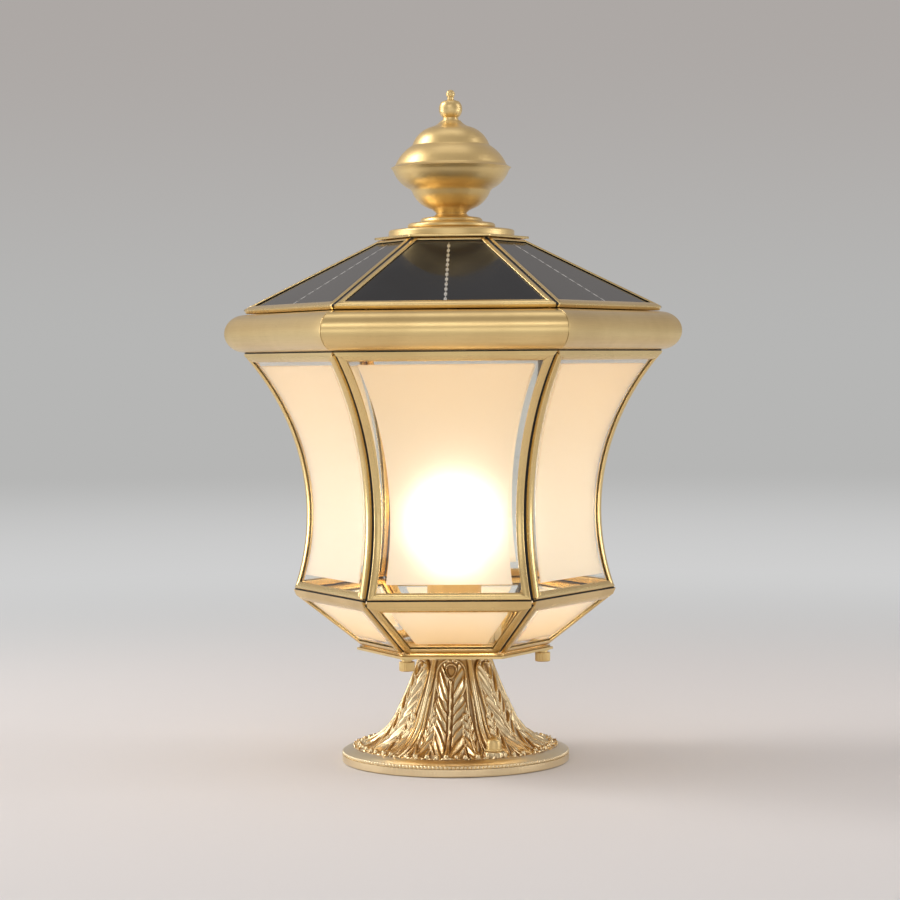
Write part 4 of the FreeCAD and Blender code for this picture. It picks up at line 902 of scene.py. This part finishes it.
for make, table in ((brass, BRASSES), (frosted, FROSTED), (moulded, MOULDINGS)):
    for label, values in table.items():
        MATERIALS[label] = make(label, *values)


# frames and panes

def make_side_frame(build):
    channel_frame(build, bend, PANE_DEPTH, SIDE_LIP, SIDE_LIP, SIDE_LIP)


def make_side_glass(build):
    sheet(build, bend, (PANE_LIFT, PANE_DEPTH - PANE_LIFT), PANE_EDGE, SIDE_FIELD, PANE_BEVEL)


def make_lower_frame(build):
    channel_frame(build, skirt, PANE_DEPTH, LOWER_LIP, LOWER_LIP, LOWER_LIP)


def make_lower_pane(build):
    sheet(build, skirt, (PANE_LIFT, PANE_DEPTH - PANE_LIFT), PANE_EDGE, LOWER_FIELD, PANE_BEVEL,
          field=(8, 14))


def make_roof_frame(build):
    channel_frame(build, roof, SOLAR_DEPTH, ROOF_LIP, ROOF_FOOT_LIP, ROOF_LIP)


def make_solar_panel(build):
    """Flat slab with a raised silver line up its middle, which widens into pads."""
    top = SOLAR_DEPTH - PANE_LIFT
    sheet(build, roof, (PANE_LIFT, top), PANE_EDGE, SOLAR_FIELD, SOLAR_BEVEL, numbers=(0, 0),
          field=(20, 12))
    low, high = ROOF_FOOT_LIP + 0.4 * MM, roof.length - ROOF_LIP - 3.5 * MM
    pitch = 6.2 * MM
    count = int((high - low) / pitch)
    pitch = (high - low) / count
    starts = low + pitch * np.arange(count)
    shape = np.array([(0, 0.25), (0.06, 0.95), (0.58, 0.95), (0.64, 0.25), (1, 0.25)])
    y = (starts[:, None] + shape[None, :, 0] * pitch).ravel()
    half = np.tile(shape[:, 1], count) * MM
    rise = 0.07 * MM
    across = np.array([-1, -1, 1, 1])
    lift = np.array([0, 1, 1, 0]) * rise
    points = roof.point(across[None, :] * half[:, None], y[:, None], top + lift[None, :])
    build.grid(points, wrap=True, number=1)
    for row in (0, -1):
        build.grid(np.stack([points[row, :2], points[row, :1:-1]]), number=1)


def make_frames_and_panes():
    for k in range(SIDES):
        name = "_%d" % (k + 1)
        dress(on_sides(make_side_frame, "bent_channel" + name, [k]), "housing", "satin_brass",
              "side_frame" + name)
        dress(on_sides(make_side_glass, "bent_pane" + name, [k], sharp=20), "housing", "frosted_glass",
              "side_glass" + name, finishes=("frosted_glass", "clear_glass"))
    dress(on_sides(make_lower_frame, "skirt_channels"), "housing", "satin_brass", "lower_frames")
    dress(on_sides(make_lower_pane, "skirt_panes", sharp=20), "housing", "frosted_glass", "lower_panes",
          finishes=("lower_frosted", "clear_glass"))
    dress(on_sides(make_roof_frame, "roof_channels"), "housing", "satin_brass", "roof_frames")
    dress(on_sides(make_solar_panel, "solar_slabs", sharp=20), "housing", "solar_cell", "solar_panels",
          finishes=("solar_cell", "silver_line"))


# black seals in the seams, whose black also paints the seams' shade

SEAL_BITE = 0.1 * MM
SEAL_DEPTH = 0.6 * MM

def seal(build, first, second):
    """A strip between two edges, each given as its line under the faces and its line further out."""
    loop = np.stack([first[0], first[1], second[1], second[0]], axis=1)
    build.grid(loop, wrap=True)
    for row in (0, -1):
        build.grid(np.stack([loop[row, :2], loop[row, :1:-1]]))


def corner_seal(build, face, top):
    """The seal in the corner between a side and the next one, up to a depth; its black also stands in for
    the corner's shade.
    """
    y = np.linspace(SEAM, face.length - SEAM, 25)
    edge = face.half(y) - face.widening(y) * (SEAM + SEAL_BITE)
    levels = (top - SEAL_DEPTH, top)
    seal(build, [face.point(edge, y, level) for level in levels],
         [turned_about(face.point(-edge, y, level), SIDE_TURN) for level in levels])


def level_seal(build, *edges):
    """A seal along a level joint; each of its two edges is a face, a distance along it and two depths."""
    share = np.linspace(-1, 1, 9)
    seal(build, *[[face.point(share * face.half(y), y, level) for level in levels]
                  for face, y, levels in edges])


class Ledge:
    """Places under or over the moulding: y is a height and z an apothem."""

    def half(self, y):
        return HALF_SIDE * MOULDING_APOTHEM + 0 * y

    def point(self, x, y, z):
        x, y, z = np.broadcast_arrays(x, y, z)
        return np.stack([x, -z, y], -1)


def make_seals():
    """Black seals in the corners and level joints, whose black also paints the shade there, and brass
    fillets that stand over the level ones.
    """
    ledge = Ledge()
    front = -bend.point(0, bend.length, PANE_DEPTH)[1]
    under_moulding = MOULDING_LOW - 0.05 * MM
    eave_joint = MOULDING_LOW - 0.8 * MM
    waist_joint = -0.75 * MM
    frame_reach = 0.6 * MM
    eave_depths = (front - 3 * MM, front - 0.8 * MM)
    waist_depths = (0.8 * MM, 2.9 * MM)

    def corners(build):
        corner_seal(build, bend, 1.4 * MM)
        corner_seal(build, skirt, 2.4 * MM)
        corner_seal(build, roof, 3.1 * MM)

    def levels(build):
        level_seal(build, (ledge, eave_joint, eave_depths), (ledge, under_moulding, eave_depths))
        level_seal(build, (bend, waist_joint, waist_depths), (bend, SEAM + 0.05 * MM, waist_depths))

    def fillets(build):
        level_seal(build, (bend, bend.length - frame_reach, (1.2 * MM, 3.9 * MM)),
                   (ledge, eave_joint, (front - 2.6 * MM, front - 0.1 * MM)))
        level_seal(build, (skirt, skirt.length - frame_reach, (0.8 * MM, 3.9 * MM)),
                   (bend, waist_joint, (0.8 * MM, 3.8 * MM)))

    for name, make, slot, finish in (("corner_seals_and_shade", corners, "black_plastic", "black_seal"),
                                     ("level_seals_and_shade", levels, "black_plastic", "black_seal"),
                                     ("eave_fillets", fillets, "satin_brass", "plain_brass")):
        dress(on_sides(make, name, sharp=40), "housing", slot, finishes=(finish,))


# moulding, cap, finial and ring

def make_moulding_length(build):
    """Half-round C section carried along a side and mitred at both ends, its end edges rounded over."""
    flange, wall, gap, rounding = 8.6 * MM, 1.0 * MM, 0.32 * MM, 0.3 * MM
    centre = (MOULDING_APOTHEM, (MOULDING_LOW + MOULDING_HIGH) / 2)
    inner_edge = MOULDING_APOTHEM - flange

    def section(sunk):
        curve = sweep(centre, MOULDING_RADIUS - sunk, 90, -90, 41)
        ends = [(inner_edge, MOULDING_HIGH - sunk)], [(inner_edge, MOULDING_LOW + sunk)]
        return np.concatenate([ends[0], curve, ends[1]])

    def place(row, apothem, level):
        return np.stack([row * (HALF_SIDE * apothem - gap / 2), -apothem, level], -1)

    start = -1 + np.array([0, 0.35, 0.8, 1.4]) * rounding / (HALF_SIDE * MOULDING_APOTHEM)
    pinch = np.array([BAR_PINCH, 0.1, 0.02, 0])
    rows = np.concatenate([start, np.linspace(start[-1], -start[-1], 13)[1:-1], -start[::-1]])
    pinches = np.concatenate([pinch, np.zeros(11), pinch[::-1]])
    hollow_bar(build, section(0), section(wall), rows, pinches, place,
               along=lambda row, points: points[..., 0])


def hexagon_ring(build, rings):
    """Rings (size, height, round): a hexagon of that apothem, or a circle where round is 1."""
    count = SIDES * 16
    angles = np.arange(count) * 2 * math.pi / count
    flat = 1 / np.cos(angles % SIDE_TURN - SIDE_TURN / 2)
    rows = []
    for size, height, is_round in rings:
        radius = size * np.where(is_round, 1.0, flat)
        rows.append(np.stack([radius * np.cos(angles), radius * np.sin(angles), 0 * angles + height], -1))
    points = np.stack(rows)
    uv = np.stack([points[..., 0] + points[..., 1], points[..., 2]], -1)
    build.grid(points, wrap=True, uv=uv)


def make_roof_cap():
    edge = 0.35 * MM
    bore = 4.2 * MM
    apothem = CAP_APOTHEM
    build = Build()
    hexagon_ring(build, [
        (bore, CAP_LOW, 1), (apothem - edge / 2, CAP_LOW, 0), (apothem, CAP_LOW + edge / 2, 0),
        (apothem, CAP_HIGH - edge, 0), (apothem - 0.3 * edge, CAP_HIGH - 0.3 * edge, 0),
        (apothem - edge, CAP_HIGH, 0), (bore, CAP_HIGH, 1), (bore, CAP_LOW, 1)])
    dress(build.finish("cap_plate", sharp=50), "housing", "satin_brass", "roof_cap")


def finial_shape(shares, radius, bottom, height):
    """Outline from shares of a radius and a height; a third share is the bend of the arc up to it."""
    corners = []
    for across, up, bend_share in shares:
        corner = (across * radius, bottom + up * height)
        corners.append(corner if bend_share is None else corner + (bend_share * radius,))
    return outline(corners)


UPPER_BOWL_SHARES = ((1, 0, None), (0.925, 0.06, -0.25), (0.643, 0.475, 0.66), (0.318, 0.87, 0.46),
                     (0.166, 1, -0.26))
LOWER_BOWL_SHARES = ((0.25, 0, None), (0.372, 0.105, -0.28), (0.653, 0.49, 0.47), (0.689, 0.54, None),
                     (0.959, 0.93, 0.5), (1, 1, None))
COLLAR_SHARES = ((0.95, 0, None), (1, 0.12, 0.07), (1, 0.22, None), (0.94, 0.36, 0.09),
                 (0.73, 0.44, None), (0.71, 0.5, None), (0.7, 0.58, None), (0.64, 0.7, 0.09),
                 (0.46, 0.76, None), (0.37, 0.88, -0.14), (0.343, 1, None))
FLANGE_SHARES = ((1, 0, None), (1, 0.62, None), (0.97, 0.84, 0.04), (0.7, 1, 1.4), (0.5, 1, None))
KNOB_SHARES = ((0.72, 0, None), (0.63, 0.09, None), (1, 0.38, 0.9), (0.74, 0.62, 0.9), (0.28, 0.68, None))


def make_finial():
    """Spun shells with softened steps, each closed by its own inside, and the knob with its ball."""
    wall = 1.0 * MM
    bore = 4.1 * MM
    for node, shares, soft in (("finial_flange", FLANGE_SHARES, 0.3 * MM),
                               ("finial_collar", COLLAR_SHARES, 0.3 * MM),
                               ("finial_lower_bowl", LOWER_BOWL_SHARES, 0.8 * MM),
                               ("finial_upper_bowl", UPPER_BOWL_SHARES, 0.8 * MM)):
        low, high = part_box(node)
        outside = softened(finial_shape(shares, high.x, low.z, high.z - low.z), soft)
        inner_radius = np.maximum(outside[:, 0] - wall, bore)
        if outside[0, 0] > outside[-1, 0]:
            inside = np.stack([inner_radius, np.minimum(outside[:, 1], high.z - wall)], -1)
            loop = np.concatenate([outside, [(bore, high.z), (bore, high.z - wall)], inside[::-1]])
        else:
            inside = np.stack([inner_radius, np.maximum(outside[:, 1], low.z + wall)], -1)
            loop = np.concatenate([outside, inside[::-1], [(bore, low.z + wall), (bore, low.z)]])
        build = Build()
        lathe(build, closed(loop), segments=160)
        dress(build.finish("spun_" + node[len("finial_"):], sharp=50), "housing", "turned_brass", node)
    low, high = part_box("finial_knob")
    radius = high.x
    ball = 2.9 * MM
    neck = KNOB_SHARES[-1][0] * radius
    middle = high.z - ball
    start = math.degrees(math.asin(-math.sqrt(ball ** 2 - neck ** 2) / ball))
    body = softened(finial_shape(KNOB_SHARES, radius, low.z, high.z - low.z), 0.5 * MM)
    head = sweep((0, middle), ball, start, 90, 24)
    head[-1, 0] = 0
    bored = [(0, low.z + 9 * MM), (2.1 * MM, low.z + 9 * MM), (2.1 * MM, low.z)]
    build = Build()
    lathe(build, closed(np.concatenate([body, head, bored])), segments=96)
    dress(build.finish("screw_knob", sharp=60), "finial_knob", "turned_brass", "finial_knob")


def make_ring():
    """Ring plate of the housing, hexagonal outside with softened edges and round inside."""
    edge = 0.3 * MM
    bore = 43.5 * MM
    low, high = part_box("housing_ring")
    build = Build()
    hexagon_ring(build, [(bore, low.z, 1), (high.y - edge, low.z, 0), (high.y, low.z + edge, 0),
                         (high.y, high.z - edge, 0), (high.y - edge, high.z, 0), (bore, high.z, 1),
                         (bore, low.z, 1)])
    dress(build.finish("ring_plate", sharp=50), "housing", "satin_brass", "housing_ring")


# nuts

def place_of(node):
    """Middle of a node, seen from above."""
    low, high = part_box(node)
    return ((low.x + high.x) / 2, (low.y + high.y) / 2)


def knurled(angles, radius, height):
    """Twenty-four rounded teeth on the widest part."""
    count, depth, widest = 24, 0.32 * MM, 4.6 * MM
    teeth = np.abs(np.sin(count / 2 * angles)) ** 0.6
    return np.where(radius > widest, depth * (teeth - 1), 0)


def make_thumb_nuts():
    for k in range(1, NUTS + 1):
        node = "thumb_nut_%d" % k
        low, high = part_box(node)
        radius = (high.x - low.x) / 2
        neck, bore, floor = 3.3 * MM, 1.7 * MM, 1.2 * MM
        shoulder = high.z - 1.3 * MM
        loop = outline([
            (0, low.z), (radius - 0.9 * MM, low.z),
            (radius, low.z + 0.8 * MM, 0.9 * MM), (radius, shoulder - 0.5 * MM),
            (radius - 0.5 * MM, shoulder, 0.5 * MM), (neck, shoulder), (neck, high.z), (bore, high.z),
            (bore, low.z + floor), (0, low.z + floor)])
        build = Build()
        lathe(build, loop, segments=192, centre=place_of(node), wave=knurled)
        dress(build.finish("knurled_nut_%d" % k, sharp=40), "nut_%d" % k, "turned_brass", node)


BASE_NUT_CIRCLE = 60 * MM


def base_nut_places():
    """Axes of the two opposite nuts on the pedestal, from the frame's nuts."""
    points = np.array([vertex.co[:2] for vertex in NODES["mounting_nuts"].data.vertices])
    angles = np.arctan2(points[:, 1], points[:, 0])
    first = np.angle(np.mean(np.exp(2j * angles))) / 2
    circle = BASE_NUT_CIRCLE
    return [(side * circle * math.cos(first), side * circle * math.sin(first)) for side in (1, -1)]


NUT_PLACES = base_nut_places()
SEAT_HEIGHT = low_of("mounting_nuts").z


def make_mounting_nuts():
    """Crowned nuts, each with a row of beads round its foot."""
    low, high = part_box("mounting_nuts")
    radius, bead, crown = 5.0 * MM, 0.75 * MM, 4.4 * MM
    loop = outline([(1.6 * MM, low.z), (radius, low.z), (radius + bead, low.z + bead, bead),
                    (radius - 0.2 * MM, low.z + 2 * bead, bead), (radius - 0.3 * MM, high.z - crown),
                    (radius - 1.2 * MM, high.z - 0.45 * crown, 4 * MM), (0, high.z, 9 * MM),
                    (0, high.z - 2 * MM), (1.6 * MM, high.z - 3 * MM), (1.6 * MM, low.z)])

    def beaded(angles, radii, heights):
        count, depth = 16, 0.55 * MM
        beads = np.abs(np.cos(count / 2 * angles)) ** 0.7
        near = np.exp(-((heights - low.z - bead) / (0.7 * bead)) ** 2) * (radii > radius - 0.1 * MM)
        return near * depth * (beads - 1)

    build = Build()
    for centre in NUT_PLACES:
        lathe(build, loop, segments=128, centre=centre, wave=beaded)
    dress(build.finish("crowned_nuts", sharp=45), "base", "turned_brass", "mounting_nuts")


# lamp

def make_lamp():
    """Spun cup with a rolled lip, and the opal globe."""
    low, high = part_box("lamp_cup")
    lip = 0.7 * MM
    radius = high.x - lip
    bore = 5.1 * MM
    wall = 1.0 * MM
    loop = outline([(bore, low.z), (radius - 1.5 * MM, low.z), (radius, low.z + 1.5 * MM, 1.5 * MM),
                    (radius, high.z - 2 * lip), (radius + lip, high.z - lip, -lip), (radius, high.z, -lip),
                    (radius - wall, high.z), (radius - wall, low.z + wall), (bore, low.z + wall),
                    (bore, low.z)])
    build = Build()
    lathe(build, loop, segments=96)
    dress(build.finish("spun_cup", sharp=50), "base", "turned_brass", "lamp_cup")
    low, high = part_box("bulb_globe")
    radius = high.x
    neck = 14.2 * MM
    middle = high.z - radius
    start = -math.degrees(math.acos(neck / radius))
    shell = sweep((0, middle), radius, start, 90, 48)
    shell[-1, 0] = 0
    base = outline([(neck, low.z), (neck, low.z + 4 * MM)])
    outside = softened(np.concatenate([base, shell]), 1.5 * MM, 0.5 * MM)
    outside[-1, 0] = 0
    glass = 1.2 * MM
    inside = np.stack([np.maximum(outside[:, 0] - glass, 0), np.minimum(outside[:, 1], high.z - glass)], -1)
    inside[-1] = (0, high.z - glass)
    build = Build()
    lathe(build, closed(np.concatenate([outside, inside[::-1]])), segments=96)
    dress(build.finish("opal_globe", sharp=60), "bulb", "bulb_glass", "bulb_globe", finishes=("bulb_glow",))


# cast pedestal: acanthus leaves between smooth stems

LEAF_TURN = math.radians(266.5)
SECTOR_LOW, SECTOR_HIGH = math.radians(-26.8), math.radians(33.2)
LEAF_COLUMNS = 230
PEDESTAL_WALL = 3.6 * MM
GROUND_DEPTH = 1.9 * MM
SEAT_RADIUS = 6.3 * MM


# stems between the leaves, in degrees from a leaf
STEM_LINES = (-30.0, 30.0)
STEM_HEIGHT = 2.4 * MM
# smooth strands beside the stems: degrees from a leaf, then half width and start in millimetres
STRANDS = ((20.5, 0.8, 8), (24.6, 0.75, 22), (13.4, 0.75, 34), (26.6, 0.6, 44))
STRAND_HEIGHT = 1.75 * MM
# curled tips at the foot: degrees from a leaf, then size in millimetres
TIPS = ((0, 2.0), (5.8, 1.6), (11.2, 1.8), (18.6, 1.9), (24.2, 1.5))
TIPS_DOWN = 76.6 * MM


def pedestal_outline():
    """The skirt's outline from its top down to the rim, as (radius, height)."""
    return outline([(23.5, 72.5), (23.5, 68), (38.3, 32.3, 320), (68, 10.3, 36)], MM)


def ridge(distance, width):
    """A rounded ridge, 1 on its line and falling to 0 at its half width."""
    return np.sqrt(np.clip(1 - (distance / width) ** 2, 0, 1))


def step(value, low, high):
    """A soft step from 0 at low to 1 at high."""
    share = np.clip((value - low) / (high - low), 0, 1)
    return share * share * (3 - 2 * share)


def bell(value, width):
    return np.exp(-(value / width) ** 2)


def blurred(grid, reach):
    """Mean of a grid over a square window, carried round at its edges as the leaves are."""
    steps = range(-reach, reach + 1)
    rows = sum(np.roll(grid, shift, axis=0) for shift in steps) / len(steps)
    return sum(np.roll(rows, shift, axis=1) for shift in steps) / len(steps)


def barbs(across, down, width, pitch):
    """Blades of half a leaf, from 0 to 1: each leaves the midrib steeply and is thick in its middle."""
    away = np.abs(across)
    share = np.clip(away / width, 0, 1)
    side = np.where(across > 0, 1.0, 0.0)
    rise = away * (1.45 + 0.5 * step(down, 36 * MM, 78 * MM)) + 0.03 * away ** 2 / MM
    growth = 0.012 / MM
    phase = np.log(1 + growth * (down + rise)) / (growth * pitch)
    phase = phase + 0.22 * np.sin(down / (7 * MM)) + 0.14 * np.sin(across / (2.2 * MM)) + 0.4 * side
    turn = phase % 1
    uneven = 0.72 + 0.28 * np.sin(2.4 * np.floor(phase) + 1.3 * side)
    blade = uneven * step(turn, 0, 0.26) * (1 - step(turn, 0.3, 1.0))
    lens = 0.35 + 0.65 * np.sin(math.pi * share ** 0.8)
    return blade * lens * (1 - step(share, 0.9, 1.0))


def crowned(share):
    """Section of a leaf's half, 1 at its middle and lower towards the midrib and the edge."""
    return np.sin(math.pi * np.clip(share, 0, 1) ** 0.85) ** 0.7


def main_leaf(across, down):
    """Height of the leaf with its rolled arch, its midrib and the loop under the arch."""
    away = np.abs(across)
    arch = 10.2 * MM
    into = down - 3.6 * MM
    rounded = np.sqrt(np.clip(1 - ((arch - np.clip(into, 0, arch)) / arch) ** 2, 0, 1))
    width = rounded * (10.8 * MM + 2.6 * MM * step(down, 18 * MM, 62 * MM))
    lobes = np.abs(np.sin(math.pi * (down - 6 * MM) / (14.5 * MM))) ** 3
    width = np.maximum(width * (1 - 0.18 * lobes * step(down, 16 * MM, 24 * MM)), 0.01 * MM)
    share = away / width
    inside = (1 - step(share, 0.93, 1.03)) * step(into, 0, 0.6 * MM)
    inner = np.maximum(width - 2.0 * MM * (1 - step(into, 14 * MM, 32 * MM)), 0.01 * MM)
    height = 0.45 * MM + 0.45 * MM * crowned(share) + 1.9 * MM * barbs(across, down, inner, 5.4 * MM)
    edge_distance = (1 - share) * width
    rolled = bell(edge_distance - 1.0 * MM, 0.9 * MM) * (1 - 0.75 * step(into, 12 * MM, 30 * MM))
    height = np.maximum(height, 2.1 * MM * rolled)
    groove = bell(away - 1.6 * MM, 0.6 * MM) * step(into, 12 * MM, 16 * MM)
    groove = groove * (1 - step(down, 66 * MM, 78 * MM))
    height = height * (1 - 0.8 * groove)
    midrib = ridge(across, 0.95 * MM) * step(into, 11 * MM, 15 * MM)
    height = np.maximum(height, 2.0 * MM * midrib)
    stalk = ridge(across, 1.3 * MM + 1.9 * MM * step(down, 62 * MM, 80 * MM)) * step(down, 54 * MM, 60 * MM)
    height = np.maximum(height, 2.3 * MM * stalk)
    drop = (into - 8.2 * MM) / (4.9 * MM)
    taper = 3.5 * MM * (1 - 0.38 * np.clip(drop, -1, 1))
    loop = np.sqrt((across / taper) ** 2 + drop ** 2)
    height = height * np.where(loop < 1.3, 0.1 + 0.9 * step(loop, 1.0, 1.3), 1)
    height = np.maximum(height, 2.3 * MM * bell(loop - 0.92, 0.17))
    return height * inside


def leaf_relief(angle, down, radius):
    """Height of the casting over its ground: main leaf, side leaves, strands, stems and curled tips.

    angle is from the leaf's centre line, down is the distance along the outline from the top.
    """
    across = angle * radius
    height = main_leaf(across, down)
    for side in (-1, 1):
        line = side * np.radians(17.6 + 1.5 * step(down, 40 * MM, 80 * MM)) * radius
        beside = across - line
        narrow = 3.3 * MM + 2.4 * MM * step(down, 40 * MM, 76 * MM)
        narrow = narrow * step(down, 33 * MM, 45 * MM) + 0.01 * MM
        share = np.abs(beside) / narrow
        inner = 1 - step(share, 0.85, 1.08)
        small = 0.6 * MM + 0.4 * MM * crowned(share) + 1.6 * MM * barbs(beside, down, narrow, 4.6 * MM)
        small = np.maximum(small, 1.8 * MM * ridge(beside, 0.6 * MM))
        height = np.maximum(height, inner * small)
        for place, size, start in STRANDS:
            line = side * np.radians(place + 1.2 * np.sin(down / (16 * MM) + place)) * radius
            strand = ridge(across - line, size * MM) * step(down, start * MM, (start + 9) * MM)
            height = np.maximum(height, strand * STRAND_HEIGHT)
    stem_width = 2.0 * MM - 0.4 * MM * step(down, 10 * MM, 70 * MM)
    for line in STEM_LINES:
        stem = ridge(across - np.radians(line) * radius, stem_width)
        height = np.maximum(height, stem * STEM_HEIGHT)
    foot = down - TIPS_DOWN
    for place, size in TIPS:
        for side in ((-1, 1) if place else (1,)):
            beside = across - side * np.radians(place) * radius
            lump = np.sqrt((beside / (size * MM)) ** 2 + (foot / (size * 1.2 * MM)) ** 2)
            height = np.maximum(height, np.sqrt(np.clip(1 - lump ** 2, 0, 1)) * (size + 1.7) * MM)
    # plain at the very top and where the skirt runs into the rim
    return height * step(down, 0.6 * MM, 3.0 * MM) * (1 - step(down, 80.5 * MM, 81.8 * MM))


def relief_shade(relief):
    """Painted shade of the casting, from 0 in the grooves to 1 on the ridges, against the relief close by
    and against the ground.
    """
    near = (relief - blurred(relief, 4)) / (0.5 * MM)
    return np.clip(0.3 + 0.35 * relief / (2.2 * MM) + 0.6 * near, 0, 1)


def make_leaf(number):
    """One sixth of the casting as a closed shell: relief on the outside, plain inside."""
    profile = spread(pedestal_outline(), 0.34 * MM)
    tangent = np.gradient(profile, axis=0)
    tangent /= np.hypot(*tangent.T)[:, None]
    normal = np.stack([-tangent[:, 1], tangent[:, 0]], -1)
    down = distances(profile)
    angles = np.linspace(SECTOR_LOW, SECTOR_HIGH, LEAF_COLUMNS)
    radius = profile[:, :1] + 0 * angles
    drop = down[:, None] + 0 * angles
    relief = leaf_relief(angles[None, :], drop, radius)
    ground = GROUND_DEPTH * step(drop, 0.4 * MM, 3.0 * MM) * (1 - 0.75 * step(drop, 79 * MM, 82 * MM))
    offset = relief - ground
    turn = LEAF_TURN + SIDE_TURN * number
    across = radius + offset * normal[:, :1]
    height = profile[:, 1:] + offset * normal[:, 1:]
    outer = np.stack([across * np.cos(angles + turn), across * np.sin(angles + turn), height], -1)
    # painted shade of the casting: the brass reads it as darkness in the grooves
    shade = relief_shade(relief)
    for x, y in NUT_PLACES:
        distance = np.hypot(outer[..., 0] - x, outer[..., 1] - y)
        flat = 1 - step(distance, SEAT_RADIUS, SEAT_RADIUS + 1.0 * MM)
        outer[..., 2] += (SEAT_HEIGHT - 0.05 * MM - outer[..., 2]) * flat
        shade = shade * (1 - flat) + 0.8 * flat
    back_angles = np.linspace(SECTOR_HIGH, SECTOR_LOW, 9)
    inner_radius = profile[:, :1] - PEDESTAL_WALL * normal[:, :1] + 0 * back_angles
    inner_height = profile[:, 1:] - PEDESTAL_WALL * normal[:, 1:] + 0 * back_angles
    inner = np.stack([inner_radius * np.cos(back_angles + turn), inner_radius * np.sin(back_angles + turn),
                      np.minimum(inner_height, 72.5 * MM)], -1)
    loop = np.concatenate([outer, inner], axis=1)
    build = Build()
    build.grid(loop, wrap=True, uv=np.broadcast_to(down[:, None, None], loop.shape[:2] + (2,)))
    shades = np.concatenate([shade, np.full(inner.shape[:2], 0.5)], axis=1)
    name = "pedestal_leaf_%d" % (number + 1)
    return build.finish(name, sharp=180, merge=1e-7, shade=shades.ravel(), fill=True)


RIM_BEADS = 184


def milgrain(angles, radius, height):
    """Small beads round the rim's upper edge."""
    beads = np.abs(np.sin(RIM_BEADS / 2 * angles)) ** 0.6
    near = bell(height - 6.1 * MM, 0.85 * MM) * (radius > 72 * MM)
    return near * 1.3 * MM * (beads - 1)


RIM = ((66.5, 0), (73.3, 0), (74.4, 1.1, 1.1), (74.4, 5), (73.3, 5), (74.4, 6.1, 1.1), (73.3, 7.2, 1.1),
       (72.9, 7.3), (72.5, 7.7), (67.6, 10.1), (66.9, 10.0), (66.2, 8.2), (66.5, 5), (66.5, 0))


def make_pedestal():
    build = Build()
    lathe(build, outline(RIM, MM), segments=6 * RIM_BEADS, wave=milgrain)
    dress(build.finish("pedestal_rim", sharp=40), "base", "cast_brass", "pedestal", finishes=("rim_brass",))
    for k in range(SIDES):
        dress(make_leaf(k), "base", "cast_brass")


# pieces that keep their modelled shape

KEPT = {
    "white_steel": ("roof_deck",),
    "zinc_steel": ("finial_rod", "pedestal_tube", "tube_nut", "mounting_plate"),
    "black_plastic": ("battery_case", "battery_lid", "charge_controller", "junction_boxes", "lamp_holder",
                      "switch_body"),
    "white_plastic": ("lead_plug", "lead_socket"),
    "lead_sleeve": ("panel_jumpers", "panel_leads", "battery_lead", "main_lead", "holder_lead"),
    "cell_wrap": ("battery_cells",),
    "button_rubber": ("switch_button",),
    "bulb_metal": ("bulb_cap",),
    "plain_brass": ("housing_studs", "bottom_plate", "mounting_studs", "thumb_washer_1", "thumb_washer_2",
                    "thumb_washer_3"),
}


def dress_kept():
    for finish, nodes in KEPT.items():
        for piece in [NODES[node] for node in nodes]:
            if not piece.material_slots:
                piece.data.materials.append(MATERIALS[finish])
            for place in piece.material_slots:
                place.material = MATERIALS[finish]


def make_object():
    make_frames_and_panes()
    make_seals()
    moulding = on_sides(make_moulding_length, "eave_lengths", sharp=50)
    dress(moulding, "housing", "brushed_brass", "eave_moulding")
    make_roof_cap()
    make_finial()
    make_ring()
    make_thumb_nuts()
    make_mounting_nuts()
    make_lamp()
    make_pedestal()
    dress_kept()


make_camera()
make_lights()
make_world()
make_floor()
make_object()
bpy.context.scene.view_settings.view_transform = "Standard"
